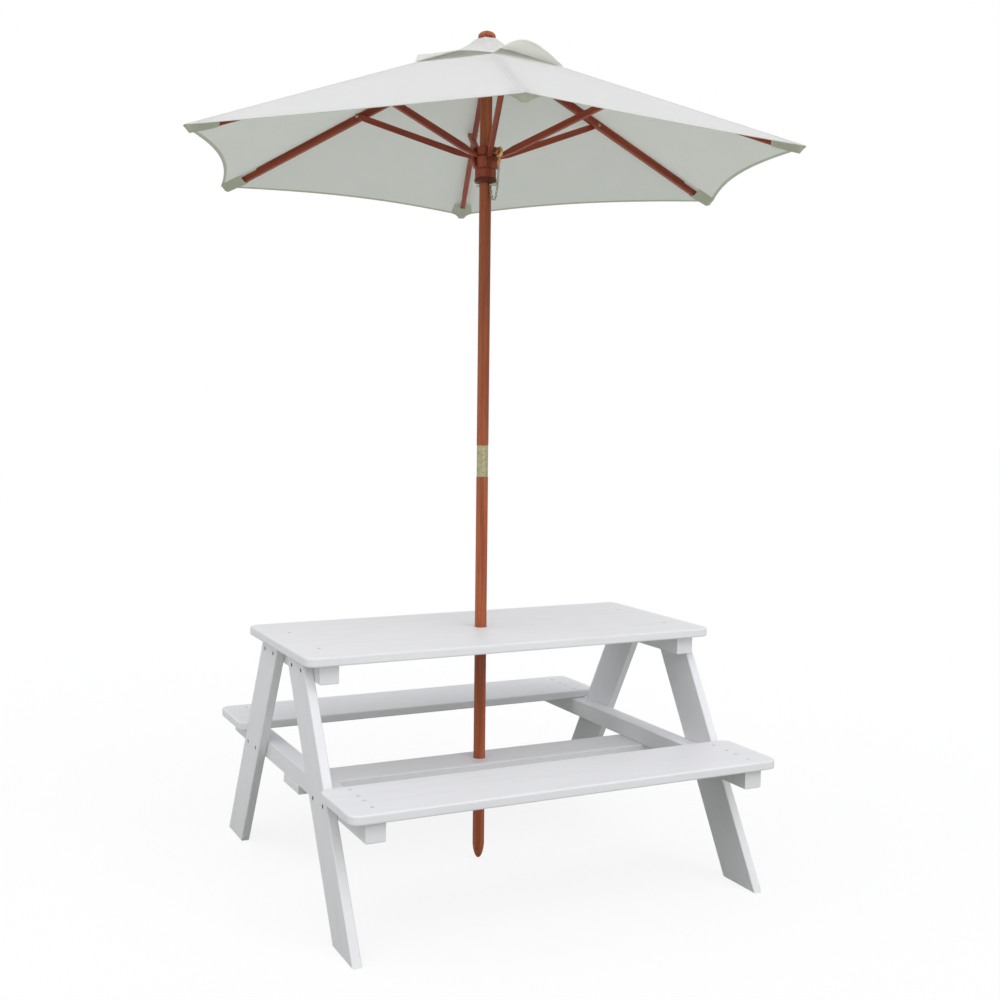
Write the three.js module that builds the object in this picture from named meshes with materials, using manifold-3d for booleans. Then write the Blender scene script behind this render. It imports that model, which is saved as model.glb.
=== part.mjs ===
// A children's picnic table with a parasol: a painted A-frame table with two attached
// benches, and a hardwood parasol whose pole stands through the middle of its boards.
// Millimetres, +Z up. The origin is on the ground under the pole. X runs along the
// benches, and Y from the near bench to the far one.

import * as THREE from 'three';
import Module from 'manifold-3d';
import { mergeVertices } from 'three/addons/utils/BufferGeometryUtils.js';

const wasm = await Module();
wasm.setup();

// Clearances, and how far a cutter runs past what it cuts
const CLEAR = 0.3;
const OVERRUN = 2;

// Tabletop and benches
const TABLE_LENGTH = 900;
const TABLE_DEPTH = 408;
const TABLE_HEIGHT = 504;
const BENCH_DEPTH = 176;
const BENCH_HEIGHT = 277;
const BOARD_THICKNESS = 18;
const BOARD_CORNER = 22;
const BOARD_EASE = 3;

// Underframe. The legs lean in to the tabletop, and the benches lie just outside them.
const LEG_THICKNESS = 18;
const LEG_WIDTH = 92.3;
const LEG_LEAN = THREE.MathUtils.degToRad(30.4);
const LEG_SPREAD = 840;
const LEG_INSET = 13.7;
const BENCH_LEG_GAP = 1;
const BEAM_SIZE = 38;
const BEAM_INSET = 15;
const CLEAT_INSET = 22;
const STRETCHER_WIDTH = 98;
const STRETCHER_THICKNESS = 18;
const TIMBER_EASE = 1.5;

// Countersunk screws that hold the legs, with their drive socket
const SCREW_RADIUS = 2.75;
const SCREW_LENGTH = 50;
const SCREW_TIP = 5;
const SCREW_HEAD_RADIUS = 4.4;
const SCREW_HEAD_DEPTH = 2.4;
const SCREW_SOCKET_RADIUS = 1.7;
const SCREW_SOCKET_DEPTH = 1.6;
const SCREW_SPACING = 58;

// Pole in two lengths, joined by a brass ferrule over a spigot on each
const POLE_RADIUS = 12.5;
const POLE_HOLE_CLEARANCE = 0.9;
const POLE_TIP_LENGTH = 32;
const LOWER_POLE_SHOULDER = 824;
const FERRULE_LENGTH = 67;
const FERRULE_RADIUS = 12;
const FERRULE_WALL = 0.8;
const LOWER_SPIGOT_LENGTH = 25;
const PIN_HOLE_RADIUS = 2.25;
const PIN_HOLE_DROP = 4;
const PIN_AZIMUTH = THREE.MathUtils.degToRad(-70);

// Ribs and struts. A strut lies beside its rib, riveted to it.
const RIB_COUNT = 6;
const FIRST_RIB_AZIMUTH = THREE.MathUtils.degToRad(-109.48);
const RIB_SLOPE = THREE.MathUtils.degToRad(21.05);
const RIB_LENGTH = 668;
const RIB_WIDTH = 10;
const RIB_DEPTH = 16;
const RIB_END_LENGTH = 95;
const RIB_END_DROP = 3;
const RIB_TIP_DEPTH = 10;
const RIB_TIP_TAPER = 42;
const STRUT_DEPTH = 13;
const LINK_LENGTH = 294;
const NOSE_RADIUS = 3.2;
const NECK_LENGTH = 20;
const NECK_HALF_DEPTH = 4.6;
const FLARE_LENGTH = 18;
const STRUT_HEAD_RADIUS = 5.2;
const SPOKE_EASE = 0.8;
const RIVET_RADIUS = 2;
const RIVET_HEAD_RADIUS = 4;
const RIVET_HEAD_HEIGHT = 1.6;

// Notched hubs: the crown on the pole's top and the runner that slides below it
const CROWN_PIVOT_HEIGHT = 1700.5;
const HUB_RADIUS = 30.5;
const HUB_PIVOT_RADIUS = 27;
const HUB_EASE = 2;
const HINGE_WIRE_RADIUS = 1;
const HINGE_WIRE_SEAT = 1;
const WIRE_GROOVE_DEPTH = 1.2;
const CROWN_NOTCH_BELOW = 12;
const CROWN_NOTCH_ABOVE = 8;
const CROWN_CAP = 7;
const CROWN_COLLAR_RADIUS = 17.5;
const CROWN_COLLAR_HEIGHT = 12.5;
const RUNNER_CLEARANCE = 0.6;
const RUNNER_NOTCH_ABOVE = 18;
const RUNNER_NOTCH_BELOW = 23;
const RUNNER_COLLAR_RADIUS = 22;
const RUNNER_COLLAR_HEIGHT = 20;
const RUNNER_FLANGE_RADIUS = 23.2;
const RUNNER_FLANGE_HEIGHT = 10;
const RUNNER_SKIRT_TAPER = 5.4;
const RUNNER_SKIRT_HEIGHT = 12;
const RUNNER_COVE = 1.4;

// Screw eye on the runner, for the locking pin's chain
const EYE_AZIMUTH = THREE.MathUtils.degToRad(-75);
const EYE_RISE = 8.5;
const EYE_RING_RADIUS = 5.6;
const EYE_WIRE_RADIUS = 2;
const EYE_SHANK_DEPTH = 8;

// Finial on the pole's top, with its dowel
const FINIAL_RADIUS = 18.5;
const FINIAL_HEIGHT = 16.2;
const FINIAL_DOWEL_RADIUS = 5;
const FINIAL_DOWEL_LENGTH = 20;

// Canopy of six taut panels, and the slack cap over its vent
const CLOTH_THICKNESS = 1.2;
const CANOPY_RADIUS = 660;
const CANOPY_TIP_WIDTH = 15;
const CANOPY_SCALLOP = 36;
const VENT_RADIUS = 97;
const CAP_RADIUS = 170;
const CAP_TIP_WIDTH = 8;
const CAP_SCALLOP = 8;
const CAP_LIFT = 36;
const CAP_HOLE_CLEARANCE = 1.5;

// Fineness of curves
const CORNER_STEPS = 5;
const EASE_STEPS = 2;
const POLE_SIDES = 28;
const SMALL_SIDES = 10;
const SCREW_SIDES = 8;

// Levels and places that follow from the sizes above. The benches are cut to the
// tabletop's length.
const BENCH_LENGTH = TABLE_LENGTH;
const TABLE_UNDERSIDE = TABLE_HEIGHT - BOARD_THICKNESS;
const BENCH_UNDERSIDE = BENCH_HEIGHT - BOARD_THICKNESS;
const CLEAT_Z = TABLE_UNDERSIDE - CLEAR - BEAM_SIZE / 2;
const BEAM_Z = BENCH_UNDERSIDE - CLEAR - BEAM_SIZE / 2;
const STRETCHER_TOP = BEAM_Z - BEAM_SIZE / 2 - CLEAR;
const LEG_OUTER_X = TABLE_LENGTH / 2 - LEG_INSET;
const BEAM_OUTER_X = LEG_OUTER_X - LEG_THICKNESS - CLEAR;
const LEG_RUN = LEG_WIDTH / Math.cos(LEG_LEAN);
const legOuterY = (z) => LEG_SPREAD / 2 - z * Math.tan(LEG_LEAN);
const BENCH_INNER_Y = legOuterY(BENCH_UNDERSIDE) + BENCH_LEG_GAP;
const BEAM_LENGTH = 2 * (BENCH_INNER_Y + BENCH_DEPTH - BEAM_INSET);

const LINK_DROP = LINK_LENGTH * Math.sin(RIB_SLOPE);
const RUNNER_PIVOT_HEIGHT = CROWN_PIVOT_HEIGHT - 2 * LINK_DROP;
const RIVET_X = HUB_PIVOT_RADIUS + LINK_LENGTH * Math.cos(RIB_SLOPE);
const RIVET_Z = CROWN_PIVOT_HEIGHT - LINK_DROP;
const SIDE_OFFSET = (RIB_WIDTH + CLEAR) / 2;
const SLOT_WIDTH = RIB_WIDTH + 2 * CLEAR;
const SLOT_FLOOR = HUB_PIVOT_RADIUS - NOSE_RADIUS - CLEAR;
const SPIGOT_RADIUS = FERRULE_RADIUS - FERRULE_WALL - CLEAR;
const UPPER_POLE_SHOULDER = LOWER_POLE_SHOULDER + FERRULE_LENGTH;
const CROWN_TOP = CROWN_PIVOT_HEIGHT + CROWN_NOTCH_ABOVE + CROWN_CAP + CROWN_COLLAR_HEIGHT;
const FINIAL_BASE = CROWN_TOP + 2 * CLEAR + CLOTH_THICKNESS;
const RUNNER_FLANGE_BOTTOM = RUNNER_PIVOT_HEIGHT - RUNNER_NOTCH_BELOW
  - RUNNER_COLLAR_HEIGHT - RUNNER_FLANGE_HEIGHT;

const part = new THREE.Group();

function add(name, geometry, material, parent = part) {
  const mesh = new THREE.Mesh(geometry, material);
  mesh.name = name;
  parent.add(mesh);
  return mesh;
}

const finish = (color, roughness, metalness) =>
  new THREE.MeshStandardMaterial({ color, roughness, metalness });
const whitePaint = () => finish(0xe3e3e3, 0.55, 0);
const hardwood = () => finish(0x8f4a32, 0.5, 0);
const brass = () => finish(0xb8ac78, 0.35, 1);
const steel = () => finish(0x5d6063, 0.4, 1);
const cloth = () => finish(0xe2e3df, 0.9, 0);

// Geometry with shared corners and no collapsed triangles, its faces pointing out
function closed(geometry) {
  geometry.deleteAttribute('normal');
  geometry.deleteAttribute('uv');
  const merged = mergeVertices(geometry);
  const place = merged.getAttribute('position');
  const corners = merged.getIndex().array;
  const kept = [];
  const a = new THREE.Vector3();
  const b = new THREE.Vector3();
  const c = new THREE.Vector3();
  let volume = 0;
  for (let i = 0; i < corners.length; i += 3) {
    const [p, q, r] = corners.slice(i, i + 3);
    if (p === q || q === r || r === p) continue;
    kept.push(p, q, r);
    a.fromBufferAttribute(place, p);
    b.fromBufferAttribute(place, q);
    c.fromBufferAttribute(place, r);
    volume += a.dot(b.cross(c));
  }
  merged.setIndex(volume < 0 ? kept.reverse() : kept);
  return merged;
}

function toSolid(geometry) {
  const tidy = closed(geometry);
  return new wasm.Manifold(new wasm.Mesh({
    numProp: 3,
    vertProperties: new Float32Array(tidy.getAttribute('position').array),
    triVerts: new Uint32Array(tidy.getIndex().array),
  }));
}

function toGeometry(solid) {
  const mesh = solid.getMesh();
  const geometry = new THREE.BufferGeometry();
  geometry.setAttribute('position', new THREE.BufferAttribute(mesh.vertProperties, 3));
  geometry.setIndex(new THREE.BufferAttribute(mesh.triVerts, 1));
  geometry.computeVertexNormals();
  return geometry;
}

const cut = (geometry, cutters) => toGeometry(
  cutters.reduce((solid, cutter) => solid.subtract(toSolid(cutter)), toSolid(geometry)),
);

// A turned piece about the Y axis, from [radius, height] pairs
const turned = (profile, sides) => closed(
  new THREE.LatheGeometry(profile.map(([r, y]) => new THREE.Vector2(r, y)), sides),
);
const upright = (geometry) => geometry.rotateX(Math.PI / 2);
const rod = (radius, length, sides = SMALL_SIDES) =>
  new THREE.CylinderGeometry(radius, radius, length, sides);

// A board in the XY plane from z = 0 up, with its edges eased
function board(shape, thickness, ease, steps) {
  const geometry = new THREE.ExtrudeGeometry(shape, {
    depth: thickness - 2 * ease,
    bevelThickness: ease,
    bevelSize: ease,
    bevelOffset: -ease,
    bevelSegments: steps,
    curveSegments: CORNER_STEPS,
  });
  return geometry.translate(0, 0, ease);
}

function roundedOutline(length, depth, corner) {
  const x = length / 2;
  const y = depth / 2;
  const shape = new THREE.Shape();
  shape.moveTo(-x + corner, -y);
  shape.lineTo(x - corner, -y);
  shape.absarc(x - corner, -y + corner, corner, -Math.PI / 2, 0);
  shape.lineTo(x, y - corner);
  shape.absarc(x - corner, y - corner, corner, 0, Math.PI / 2);
  shape.lineTo(-x + corner, y);
  shape.absarc(-x + corner, y - corner, corner, Math.PI / 2, Math.PI);
  shape.lineTo(-x, -y + corner);
  shape.absarc(-x + corner, -y + corner, corner, Math.PI, 1.5 * Math.PI);
  return shape;
}

function polygon(points) {
  return new THREE.Shape(points.map(([x, y]) => new THREE.Vector2(x, y)));
}

const timber = (length, depth, height) =>
  board(
    polygon([
      [-length / 2, -depth / 2], [length / 2, -depth / 2],
      [length / 2, depth / 2], [-length / 2, depth / 2],
    ]),
    height, TIMBER_EASE, 1,
  );

// Where the screws go: two at each leg's top and two where it crosses its beam
const SIDES = [
  { name: 'left', x: -1 },
  { name: 'right', x: 1 },
];
const ROWS = [
  { name: 'near', y: -1 },
  { name: 'far', y: 1 },
];
const LEVELS = [
  { name: 'top', z: CLEAT_Z },
  { name: 'beam', z: BEAM_Z },
];

function screwSpots(side, row) {
  return LEVELS.flatMap((level) => {
    const middle = legOuterY(level.z) - LEG_RUN / 2;
    return [-1, 1].map((step, index) => ({
      name: `screw_${level.name}_${row.name}_${side.name}_${index + 1}`,
      level,
      x: side.x * (LEG_OUTER_X - CLEAR),
      y: row.y * (middle + step * SCREW_SPACING / 2),
      z: level.z,
    }));
  });
}

// The screw's axis is Y with its head at 0, and side.x turns that axis outward
function screwHole(spot, side) {
  const bore = SCREW_RADIUS + CLEAR;
  const cutter = turned([
    [0, -SCREW_LENGTH - CLEAR],
    [bore, -SCREW_LENGTH - CLEAR],
    [bore, -SCREW_HEAD_DEPTH],
    [SCREW_HEAD_RADIUS + CLEAR, 0],
    [SCREW_HEAD_RADIUS + CLEAR, OVERRUN],
    [0, OVERRUN],
  ], SCREW_SIDES);
  return cutter.rotateZ(-side.x * Math.PI / 2).translate(spot.x, spot.y, spot.z);
}

const screwGeometry = () => turned([
  [0, -SCREW_LENGTH],
  [SCREW_RADIUS, SCREW_TIP - SCREW_LENGTH],
  [SCREW_RADIUS, -SCREW_HEAD_DEPTH],
  [SCREW_HEAD_RADIUS, 0],
  [SCREW_SOCKET_RADIUS, 0],
  [SCREW_SOCKET_RADIUS, -SCREW_SOCKET_DEPTH],
  [0, -SCREW_SOCKET_DEPTH],
], SCREW_SIDES);

// Boards: the tabletop with its pole hole, the benches and the stretcher
const POLE_HOLE_RADIUS = POLE_RADIUS + POLE_HOLE_CLEARANCE;
const poleHole = (z, thickness) =>
  upright(rod(POLE_HOLE_RADIUS, thickness + 2 * OVERRUN, POLE_SIDES))
    .translate(0, 0, z + thickness / 2);

add('tabletop', cut(
  board(
    roundedOutline(TABLE_LENGTH, TABLE_DEPTH, BOARD_CORNER),
    BOARD_THICKNESS, BOARD_EASE, EASE_STEPS,
  ),
  [poleHole(0, BOARD_THICKNESS)],
), whitePaint()).position.z = TABLE_UNDERSIDE;

for (const row of ROWS) {
  const bench = add(`bench_${row.name}`, closed(board(
    roundedOutline(BENCH_LENGTH, BENCH_DEPTH, BOARD_CORNER),
    BOARD_THICKNESS, BOARD_EASE, EASE_STEPS,
  )), whitePaint());
  bench.position.set(0, row.y * (BENCH_INNER_Y + BENCH_DEPTH / 2), BENCH_UNDERSIDE);
}

add('stretcher', cut(
  timber(2 * BEAM_OUTER_X, STRETCHER_WIDTH, STRETCHER_THICKNESS),
  [poleHole(0, STRETCHER_THICKNESS)],
), whitePaint()).position.z = STRETCHER_TOP - STRETCHER_THICKNESS;

// Legs: planks that lean inward, cut level at the ground and under the tabletop
function legGeometry(side, row) {
  const top = TABLE_UNDERSIDE - CLEAR;
  const outline = polygon([
    [row.y * legOuterY(0), 0],
    [row.y * legOuterY(top), top],
    [row.y * (legOuterY(top) - LEG_RUN), top],
    [row.y * (legOuterY(0) - LEG_RUN), 0],
  ]);
  const plank = board(outline, LEG_THICKNESS, TIMBER_EASE, 1);
  const turn = new THREE.Matrix4().makeBasis(
    new THREE.Vector3(0, 1, 0), new THREE.Vector3(0, 0, 1), new THREE.Vector3(1, 0, 0),
  );
  const inner = side.x > 0 ? LEG_OUTER_X - LEG_THICKNESS : -LEG_OUTER_X;
  plank.applyMatrix4(turn).translate(inner, 0, 0);
  return cut(plank, screwSpots(side, row).map((spot) => screwHole(spot, side)));
}

for (const side of SIDES) {
  // The cleat under the tabletop and the beam under the benches, bored for the screws
  const crossX = side.x * (BEAM_OUTER_X - BEAM_SIZE / 2);
  const cross = (length, level) => cut(
    timber(BEAM_SIZE, length, BEAM_SIZE).translate(crossX, 0, level.z - BEAM_SIZE / 2),
    ROWS.flatMap((row) => screwSpots(side, row)
      .filter((spot) => spot.level === level)
      .map((spot) => screwHole(spot, side))),
  );
  add(`cleat_${side.name}`, cross(TABLE_DEPTH - 2 * CLEAT_INSET, LEVELS[0]), whitePaint());
  add(`beam_${side.name}`, cross(BEAM_LENGTH, LEVELS[1]), whitePaint());

  for (const row of ROWS) {
    add(`leg_${row.name}_${side.name}`, legGeometry(side, row), whitePaint());
    for (const spot of screwSpots(side, row)) {
      const screw = add(spot.name, screwGeometry(), steel());
      screw.position.set(spot.x, spot.y, spot.z);
      screw.rotation.z = -side.x * Math.PI / 2;
    }
  }
}

// Lower pole: a rounded point on the ground, and a spigot into the ferrule
const TIP_FULLNESS_SHARE = 0.8;
const TIP_ROUND_SHARE = 0.1;
const tipCurve = new THREE.QuadraticBezierCurve(
  new THREE.Vector2(0, 0),
  new THREE.Vector2(TIP_FULLNESS_SHARE * POLE_RADIUS, TIP_ROUND_SHARE * POLE_TIP_LENGTH),
  new THREE.Vector2(POLE_RADIUS, POLE_TIP_LENGTH),
);
const tipProfile = tipCurve.getPoints(CORNER_STEPS).map((point) => [point.x, point.y]);
add('lower_pole', upright(turned([
  ...tipProfile,
  [POLE_RADIUS, LOWER_POLE_SHOULDER],
  [SPIGOT_RADIUS, LOWER_POLE_SHOULDER],
  [SPIGOT_RADIUS, LOWER_POLE_SHOULDER + LOWER_SPIGOT_LENGTH],
  [0, LOWER_POLE_SHOULDER + LOWER_SPIGOT_LENGTH],
], POLE_SIDES)), hardwood());

const ferruleBottom = LOWER_POLE_SHOULDER + CLEAR;
const ferruleTop = UPPER_POLE_SHOULDER - CLEAR;
add('ferrule', upright(turned([
  [FERRULE_RADIUS - FERRULE_WALL, ferruleBottom],
  [FERRULE_RADIUS, ferruleBottom],
  [FERRULE_RADIUS, ferruleTop],
  [FERRULE_RADIUS - FERRULE_WALL, ferruleTop],
  [FERRULE_RADIUS - FERRULE_WALL, ferruleBottom],
], POLE_SIDES)), brass());

// Upper pole: bored across for the locking pin, and down its top for the finial
const pinHole = rod(PIN_HOLE_RADIUS, 2 * (POLE_RADIUS + OVERRUN))
  .rotateZ(Math.PI / 2)
  .rotateZ(PIN_AZIMUTH)
  .translate(0, 0, RUNNER_FLANGE_BOTTOM - PIN_HOLE_DROP);
const dowelHoleLength = FINIAL_DOWEL_LENGTH + CLEAR + OVERRUN;
const dowelHole = upright(rod(FINIAL_DOWEL_RADIUS + CLEAR, dowelHoleLength))
  .translate(0, 0, FINIAL_BASE - FINIAL_DOWEL_LENGTH - CLEAR + dowelHoleLength / 2);
const spigotEnd = LOWER_POLE_SHOULDER + LOWER_SPIGOT_LENGTH + CLEAR;
add('upper_pole', cut(upright(turned([
  [0, spigotEnd],
  [SPIGOT_RADIUS, spigotEnd],
  [SPIGOT_RADIUS, UPPER_POLE_SHOULDER],
  [POLE_RADIUS, UPPER_POLE_SHOULDER],
  [POLE_RADIUS, CROWN_TOP],
  [0, CROWN_TOP],
], POLE_SIDES)), [pinHole, dowelHole]), hardwood());

// Finial: a turned knob, flat below where it clamps the vent cap's cloth
const KNOB_SHARES = [
  [0.78, 0], [0.95, 0.12], [1, 0.32], [0.93, 0.56], [0.72, 0.8], [0.4, 0.95], [0, 1],
];
add('finial', upright(turned([
  [0, -FINIAL_DOWEL_LENGTH],
  [FINIAL_DOWEL_RADIUS, -FINIAL_DOWEL_LENGTH],
  [FINIAL_DOWEL_RADIUS, 0],
  ...KNOB_SHARES.map(([r, z]) => [r * FINIAL_RADIUS, z * FINIAL_HEIGHT]),
], POLE_SIDES)), hardwood()).position.z = FINIAL_BASE;

// Spokes: everything that repeats round the pole. Inside a spoke's frame X points out
// from the pole, Y up, and Z to the side where the rib lies.
const azimuth = (index) => FIRST_RIB_AZIMUTH + index * 2 * Math.PI / RIB_COUNT;

function spokeFrame(index) {
  const turn = new THREE.Group();
  turn.rotation.z = azimuth(index);
  const stand = new THREE.Group();
  stand.rotation.x = Math.PI / 2;
  turn.add(stand);
  part.add(turn);
  return stand;
}

// Slots for one hub, offset to the side of the ribs or of the struts, and the lengths
// of hinge wire that cross them
function hubSlots(offset, bottom, top) {
  const reach = HUB_RADIUS + OVERRUN - SLOT_FLOOR;
  return Array.from({ length: RIB_COUNT }, (_, index) =>
    new THREE.BoxGeometry(reach, SLOT_WIDTH, top - bottom)
      .translate(SLOT_FLOOR + reach / 2, offset, (bottom + top) / 2)
      .rotateZ(azimuth(index)));
}

function hingeWires(offset, height) {
  return Array.from({ length: RIB_COUNT }, (_, index) =>
    rod(HINGE_WIRE_RADIUS, SLOT_WIDTH + 2 * HINGE_WIRE_SEAT)
      .translate(HUB_PIVOT_RADIUS, offset, height)
      .rotateZ(azimuth(index)));
}

function hub(profile, slots, wires, holes = []) {
  const slotted = [...slots, ...holes].reduce(
    (solid, cutter) => solid.subtract(toSolid(cutter)),
    toSolid(upright(turned(profile, POLE_SIDES))),
  );
  return toGeometry(wires.reduce((solid, wire) => solid.add(toSolid(wire)), slotted));
}

const crownBottom = CROWN_PIVOT_HEIGHT - CROWN_NOTCH_BELOW;
const crownNotchTop = CROWN_PIVOT_HEIGHT + CROWN_NOTCH_ABOVE;
const crownCapTop = crownNotchTop + CROWN_CAP;
const crownBore = POLE_RADIUS + CLEAR;
add('crown', hub(
  [
    [crownBore, crownBottom],
    [HUB_RADIUS - HUB_EASE, crownBottom],
    [HUB_RADIUS, crownBottom + HUB_EASE],
    [HUB_RADIUS, crownCapTop - 2 * HUB_EASE],
    [HUB_RADIUS - 2 * HUB_EASE, crownCapTop],
    [CROWN_COLLAR_RADIUS, crownCapTop],
    [CROWN_COLLAR_RADIUS, CROWN_TOP],
    [crownBore, CROWN_TOP],
    [crownBore, crownBottom],
  ],
  hubSlots(-SIDE_OFFSET, crownBottom - OVERRUN, crownNotchTop),
  hingeWires(-SIDE_OFFSET, CROWN_PIVOT_HEIGHT),
), hardwood());

// Runner: notched head with a groove for the hinge wire and a tapered foot, a cove, a
// collar and a flange
const notchTop = RUNNER_PIVOT_HEIGHT + RUNNER_NOTCH_ABOVE;
const notchBottom = RUNNER_PIVOT_HEIGHT - RUNNER_NOTCH_BELOW;
const collarBottom = notchBottom - RUNNER_COLLAR_HEIGHT;
const runnerBore = POLE_RADIUS + RUNNER_CLEARANCE;
const grooveRadius = HUB_RADIUS - WIRE_GROOVE_DEPTH;
const eyeShankReach = EYE_SHANK_DEPTH + CLEAR + OVERRUN;
const eyeHeight = RUNNER_PIVOT_HEIGHT + EYE_RISE;
const eyeHole = rod(EYE_WIRE_RADIUS + CLEAR, eyeShankReach)
  .rotateZ(Math.PI / 2)
  .translate(HUB_RADIUS + OVERRUN - eyeShankReach / 2, 0, eyeHeight)
  .rotateZ(EYE_AZIMUTH);
add('runner', hub(
  [
    [runnerBore, RUNNER_FLANGE_BOTTOM],
    [RUNNER_FLANGE_RADIUS - HUB_EASE, RUNNER_FLANGE_BOTTOM],
    [RUNNER_FLANGE_RADIUS, RUNNER_FLANGE_BOTTOM + HUB_EASE],
    [RUNNER_FLANGE_RADIUS, collarBottom - HUB_EASE],
    [RUNNER_COLLAR_RADIUS, collarBottom],
    [RUNNER_COLLAR_RADIUS, notchBottom - 2 * RUNNER_COVE],
    [RUNNER_COLLAR_RADIUS - RUNNER_COVE, notchBottom - RUNNER_COVE],
    [RUNNER_COLLAR_RADIUS, notchBottom],
    [HUB_RADIUS - RUNNER_SKIRT_TAPER, notchBottom],
    [HUB_RADIUS, notchBottom + RUNNER_SKIRT_HEIGHT],
    [HUB_RADIUS, RUNNER_PIVOT_HEIGHT - 2 * WIRE_GROOVE_DEPTH],
    [grooveRadius, RUNNER_PIVOT_HEIGHT - WIRE_GROOVE_DEPTH],
    [grooveRadius, RUNNER_PIVOT_HEIGHT + WIRE_GROOVE_DEPTH],
    [HUB_RADIUS, RUNNER_PIVOT_HEIGHT + 2 * WIRE_GROOVE_DEPTH],
    [HUB_RADIUS, notchTop - HUB_EASE],
    [HUB_RADIUS - HUB_EASE, notchTop],
    [runnerBore, notchTop],
    [runnerBore, RUNNER_FLANGE_BOTTOM],
  ],
  hubSlots(SIDE_OFFSET, notchBottom - OVERRUN, notchTop + OVERRUN),
  hingeWires(SIDE_OFFSET, RUNNER_PIVOT_HEIGHT),
  [eyeHole],
), hardwood());

const eyeRingX = HUB_RADIUS + CLEAR + EYE_WIRE_RADIUS + EYE_RING_RADIUS;
const eyeShankStart = HUB_RADIUS - EYE_SHANK_DEPTH;
const eyeShankLength = eyeRingX - EYE_RING_RADIUS - eyeShankStart;
const eyeRing = new THREE.TorusGeometry(EYE_RING_RADIUS, EYE_WIRE_RADIUS, 6, 12)
  .rotateX(Math.PI / 2)
  .translate(eyeRingX, 0, 0);
const eyeShank = rod(EYE_WIRE_RADIUS, eyeShankLength)
  .rotateZ(Math.PI / 2)
  .translate(eyeShankStart + eyeShankLength / 2, 0, 0);
const eye = add('runner_eye', toGeometry(toSolid(eyeRing).add(toSolid(eyeShank))), brass());
eye.position.z = eyeHeight;
eye.rotation.z = EYE_AZIMUTH;

// A rib or strut seen from its side, from its hinged nose along X. The nose and neck
// are slim enough to fold inside the hub's slot.
function noseOutline(halfDepth, endPoints, lowerEndPoints = endPoints) {
  const nose = new THREE.EllipseCurve(
    0, 0, NOSE_RADIUS, NOSE_RADIUS, Math.PI / 2, 1.5 * Math.PI,
  ).getPoints(CORNER_STEPS).map((point) => [point.x, point.y]);
  const lower = [
    [NECK_LENGTH, -NECK_HALF_DEPTH],
    [NECK_LENGTH + FLARE_LENGTH, -halfDepth],
    ...lowerEndPoints.map(([x, y]) => [x, -y]),
  ];
  const upper = [
    ...endPoints.slice().reverse(),
    [NECK_LENGTH + FLARE_LENGTH, halfDepth],
    [NECK_LENGTH, NECK_HALF_DEPTH],
  ];
  return polygon([...nose, ...lower, ...upper]);
}

function spokeBar(outline, holes) {
  const bar = board(outline, RIB_WIDTH, SPOKE_EASE, 1).translate(0, 0, -RIB_WIDTH / 2);
  return cut(bar, holes.map(({ x, radius }) =>
    upright(rod(radius + CLEAR, RIB_WIDTH + 2 * OVERRUN)).translate(x, 0, 0)));
}

// A rib's last length is cut back under the cloth, and its tip tapers into the pocket
const ribEndTop = RIB_DEPTH / 2 - RIB_END_DROP;
const ribOutline = noseOutline(
  RIB_DEPTH / 2,
  [
    [RIB_LENGTH - RIB_END_LENGTH, RIB_DEPTH / 2],
    [RIB_LENGTH - RIB_END_LENGTH + RIB_END_DROP, ribEndTop],
    [RIB_LENGTH, ribEndTop],
  ],
  [
    [RIB_LENGTH - RIB_TIP_TAPER, RIB_DEPTH / 2],
    [RIB_LENGTH, RIB_TIP_DEPTH - ribEndTop],
  ],
);
const HEAD_TAPER_SHARE = 4;
const STRUT_HEAD_SHARES = [[0, 1], [0.6, 0.8], [0.9, 0.436]];
const strutOutline = noseOutline(STRUT_DEPTH / 2, [
  [LINK_LENGTH - HEAD_TAPER_SHARE * STRUT_HEAD_RADIUS, STRUT_DEPTH / 2],
  ...STRUT_HEAD_SHARES.map(([x, y]) => [
    LINK_LENGTH + x * STRUT_HEAD_RADIUS, y * STRUT_HEAD_RADIUS,
  ]),
]);
const hingeHole = { x: 0, radius: HINGE_WIRE_RADIUS };
const rivetHole = { x: LINK_LENGTH, radius: RIVET_RADIUS };

const rivetReach = RIB_WIDTH + CLEAR / 2 + CLEAR;
const DOME_SHARES = [[0, 1], [0.55, 0.85], [1, 0]];
const domeProfile = DOME_SHARES.map(([r, y]) => [
  r * RIVET_HEAD_RADIUS, rivetReach + y * RIVET_HEAD_HEIGHT,
]);
const rivetGeometry = () => turned([
  ...domeProfile.map(([r, y]) => [r, -y]),
  [RIVET_RADIUS, -rivetReach],
  [RIVET_RADIUS, rivetReach],
  ...domeProfile.slice().reverse(),
], SMALL_SIDES);

for (let index = 0; index < RIB_COUNT; index += 1) {
  const frame = spokeFrame(index);
  const number = index + 1;

  const rib = add(`rib_${number}`, spokeBar(ribOutline, [hingeHole, rivetHole]), hardwood(), frame);
  rib.position.set(HUB_PIVOT_RADIUS, CROWN_PIVOT_HEIGHT, SIDE_OFFSET);
  rib.rotation.z = -RIB_SLOPE;

  const strut = add(
    `strut_${number}`, spokeBar(strutOutline, [hingeHole, rivetHole]), hardwood(), frame,
  );
  strut.position.set(HUB_PIVOT_RADIUS, RUNNER_PIVOT_HEIGHT, -SIDE_OFFSET);
  strut.rotation.z = RIB_SLOPE;

  const rivet = add(`rivet_${number}`, rivetGeometry(), brass(), frame);
  rivet.position.set(RIVET_X, RIVET_Z, 0);
  rivet.rotation.x = Math.PI / 2;
}

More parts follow.
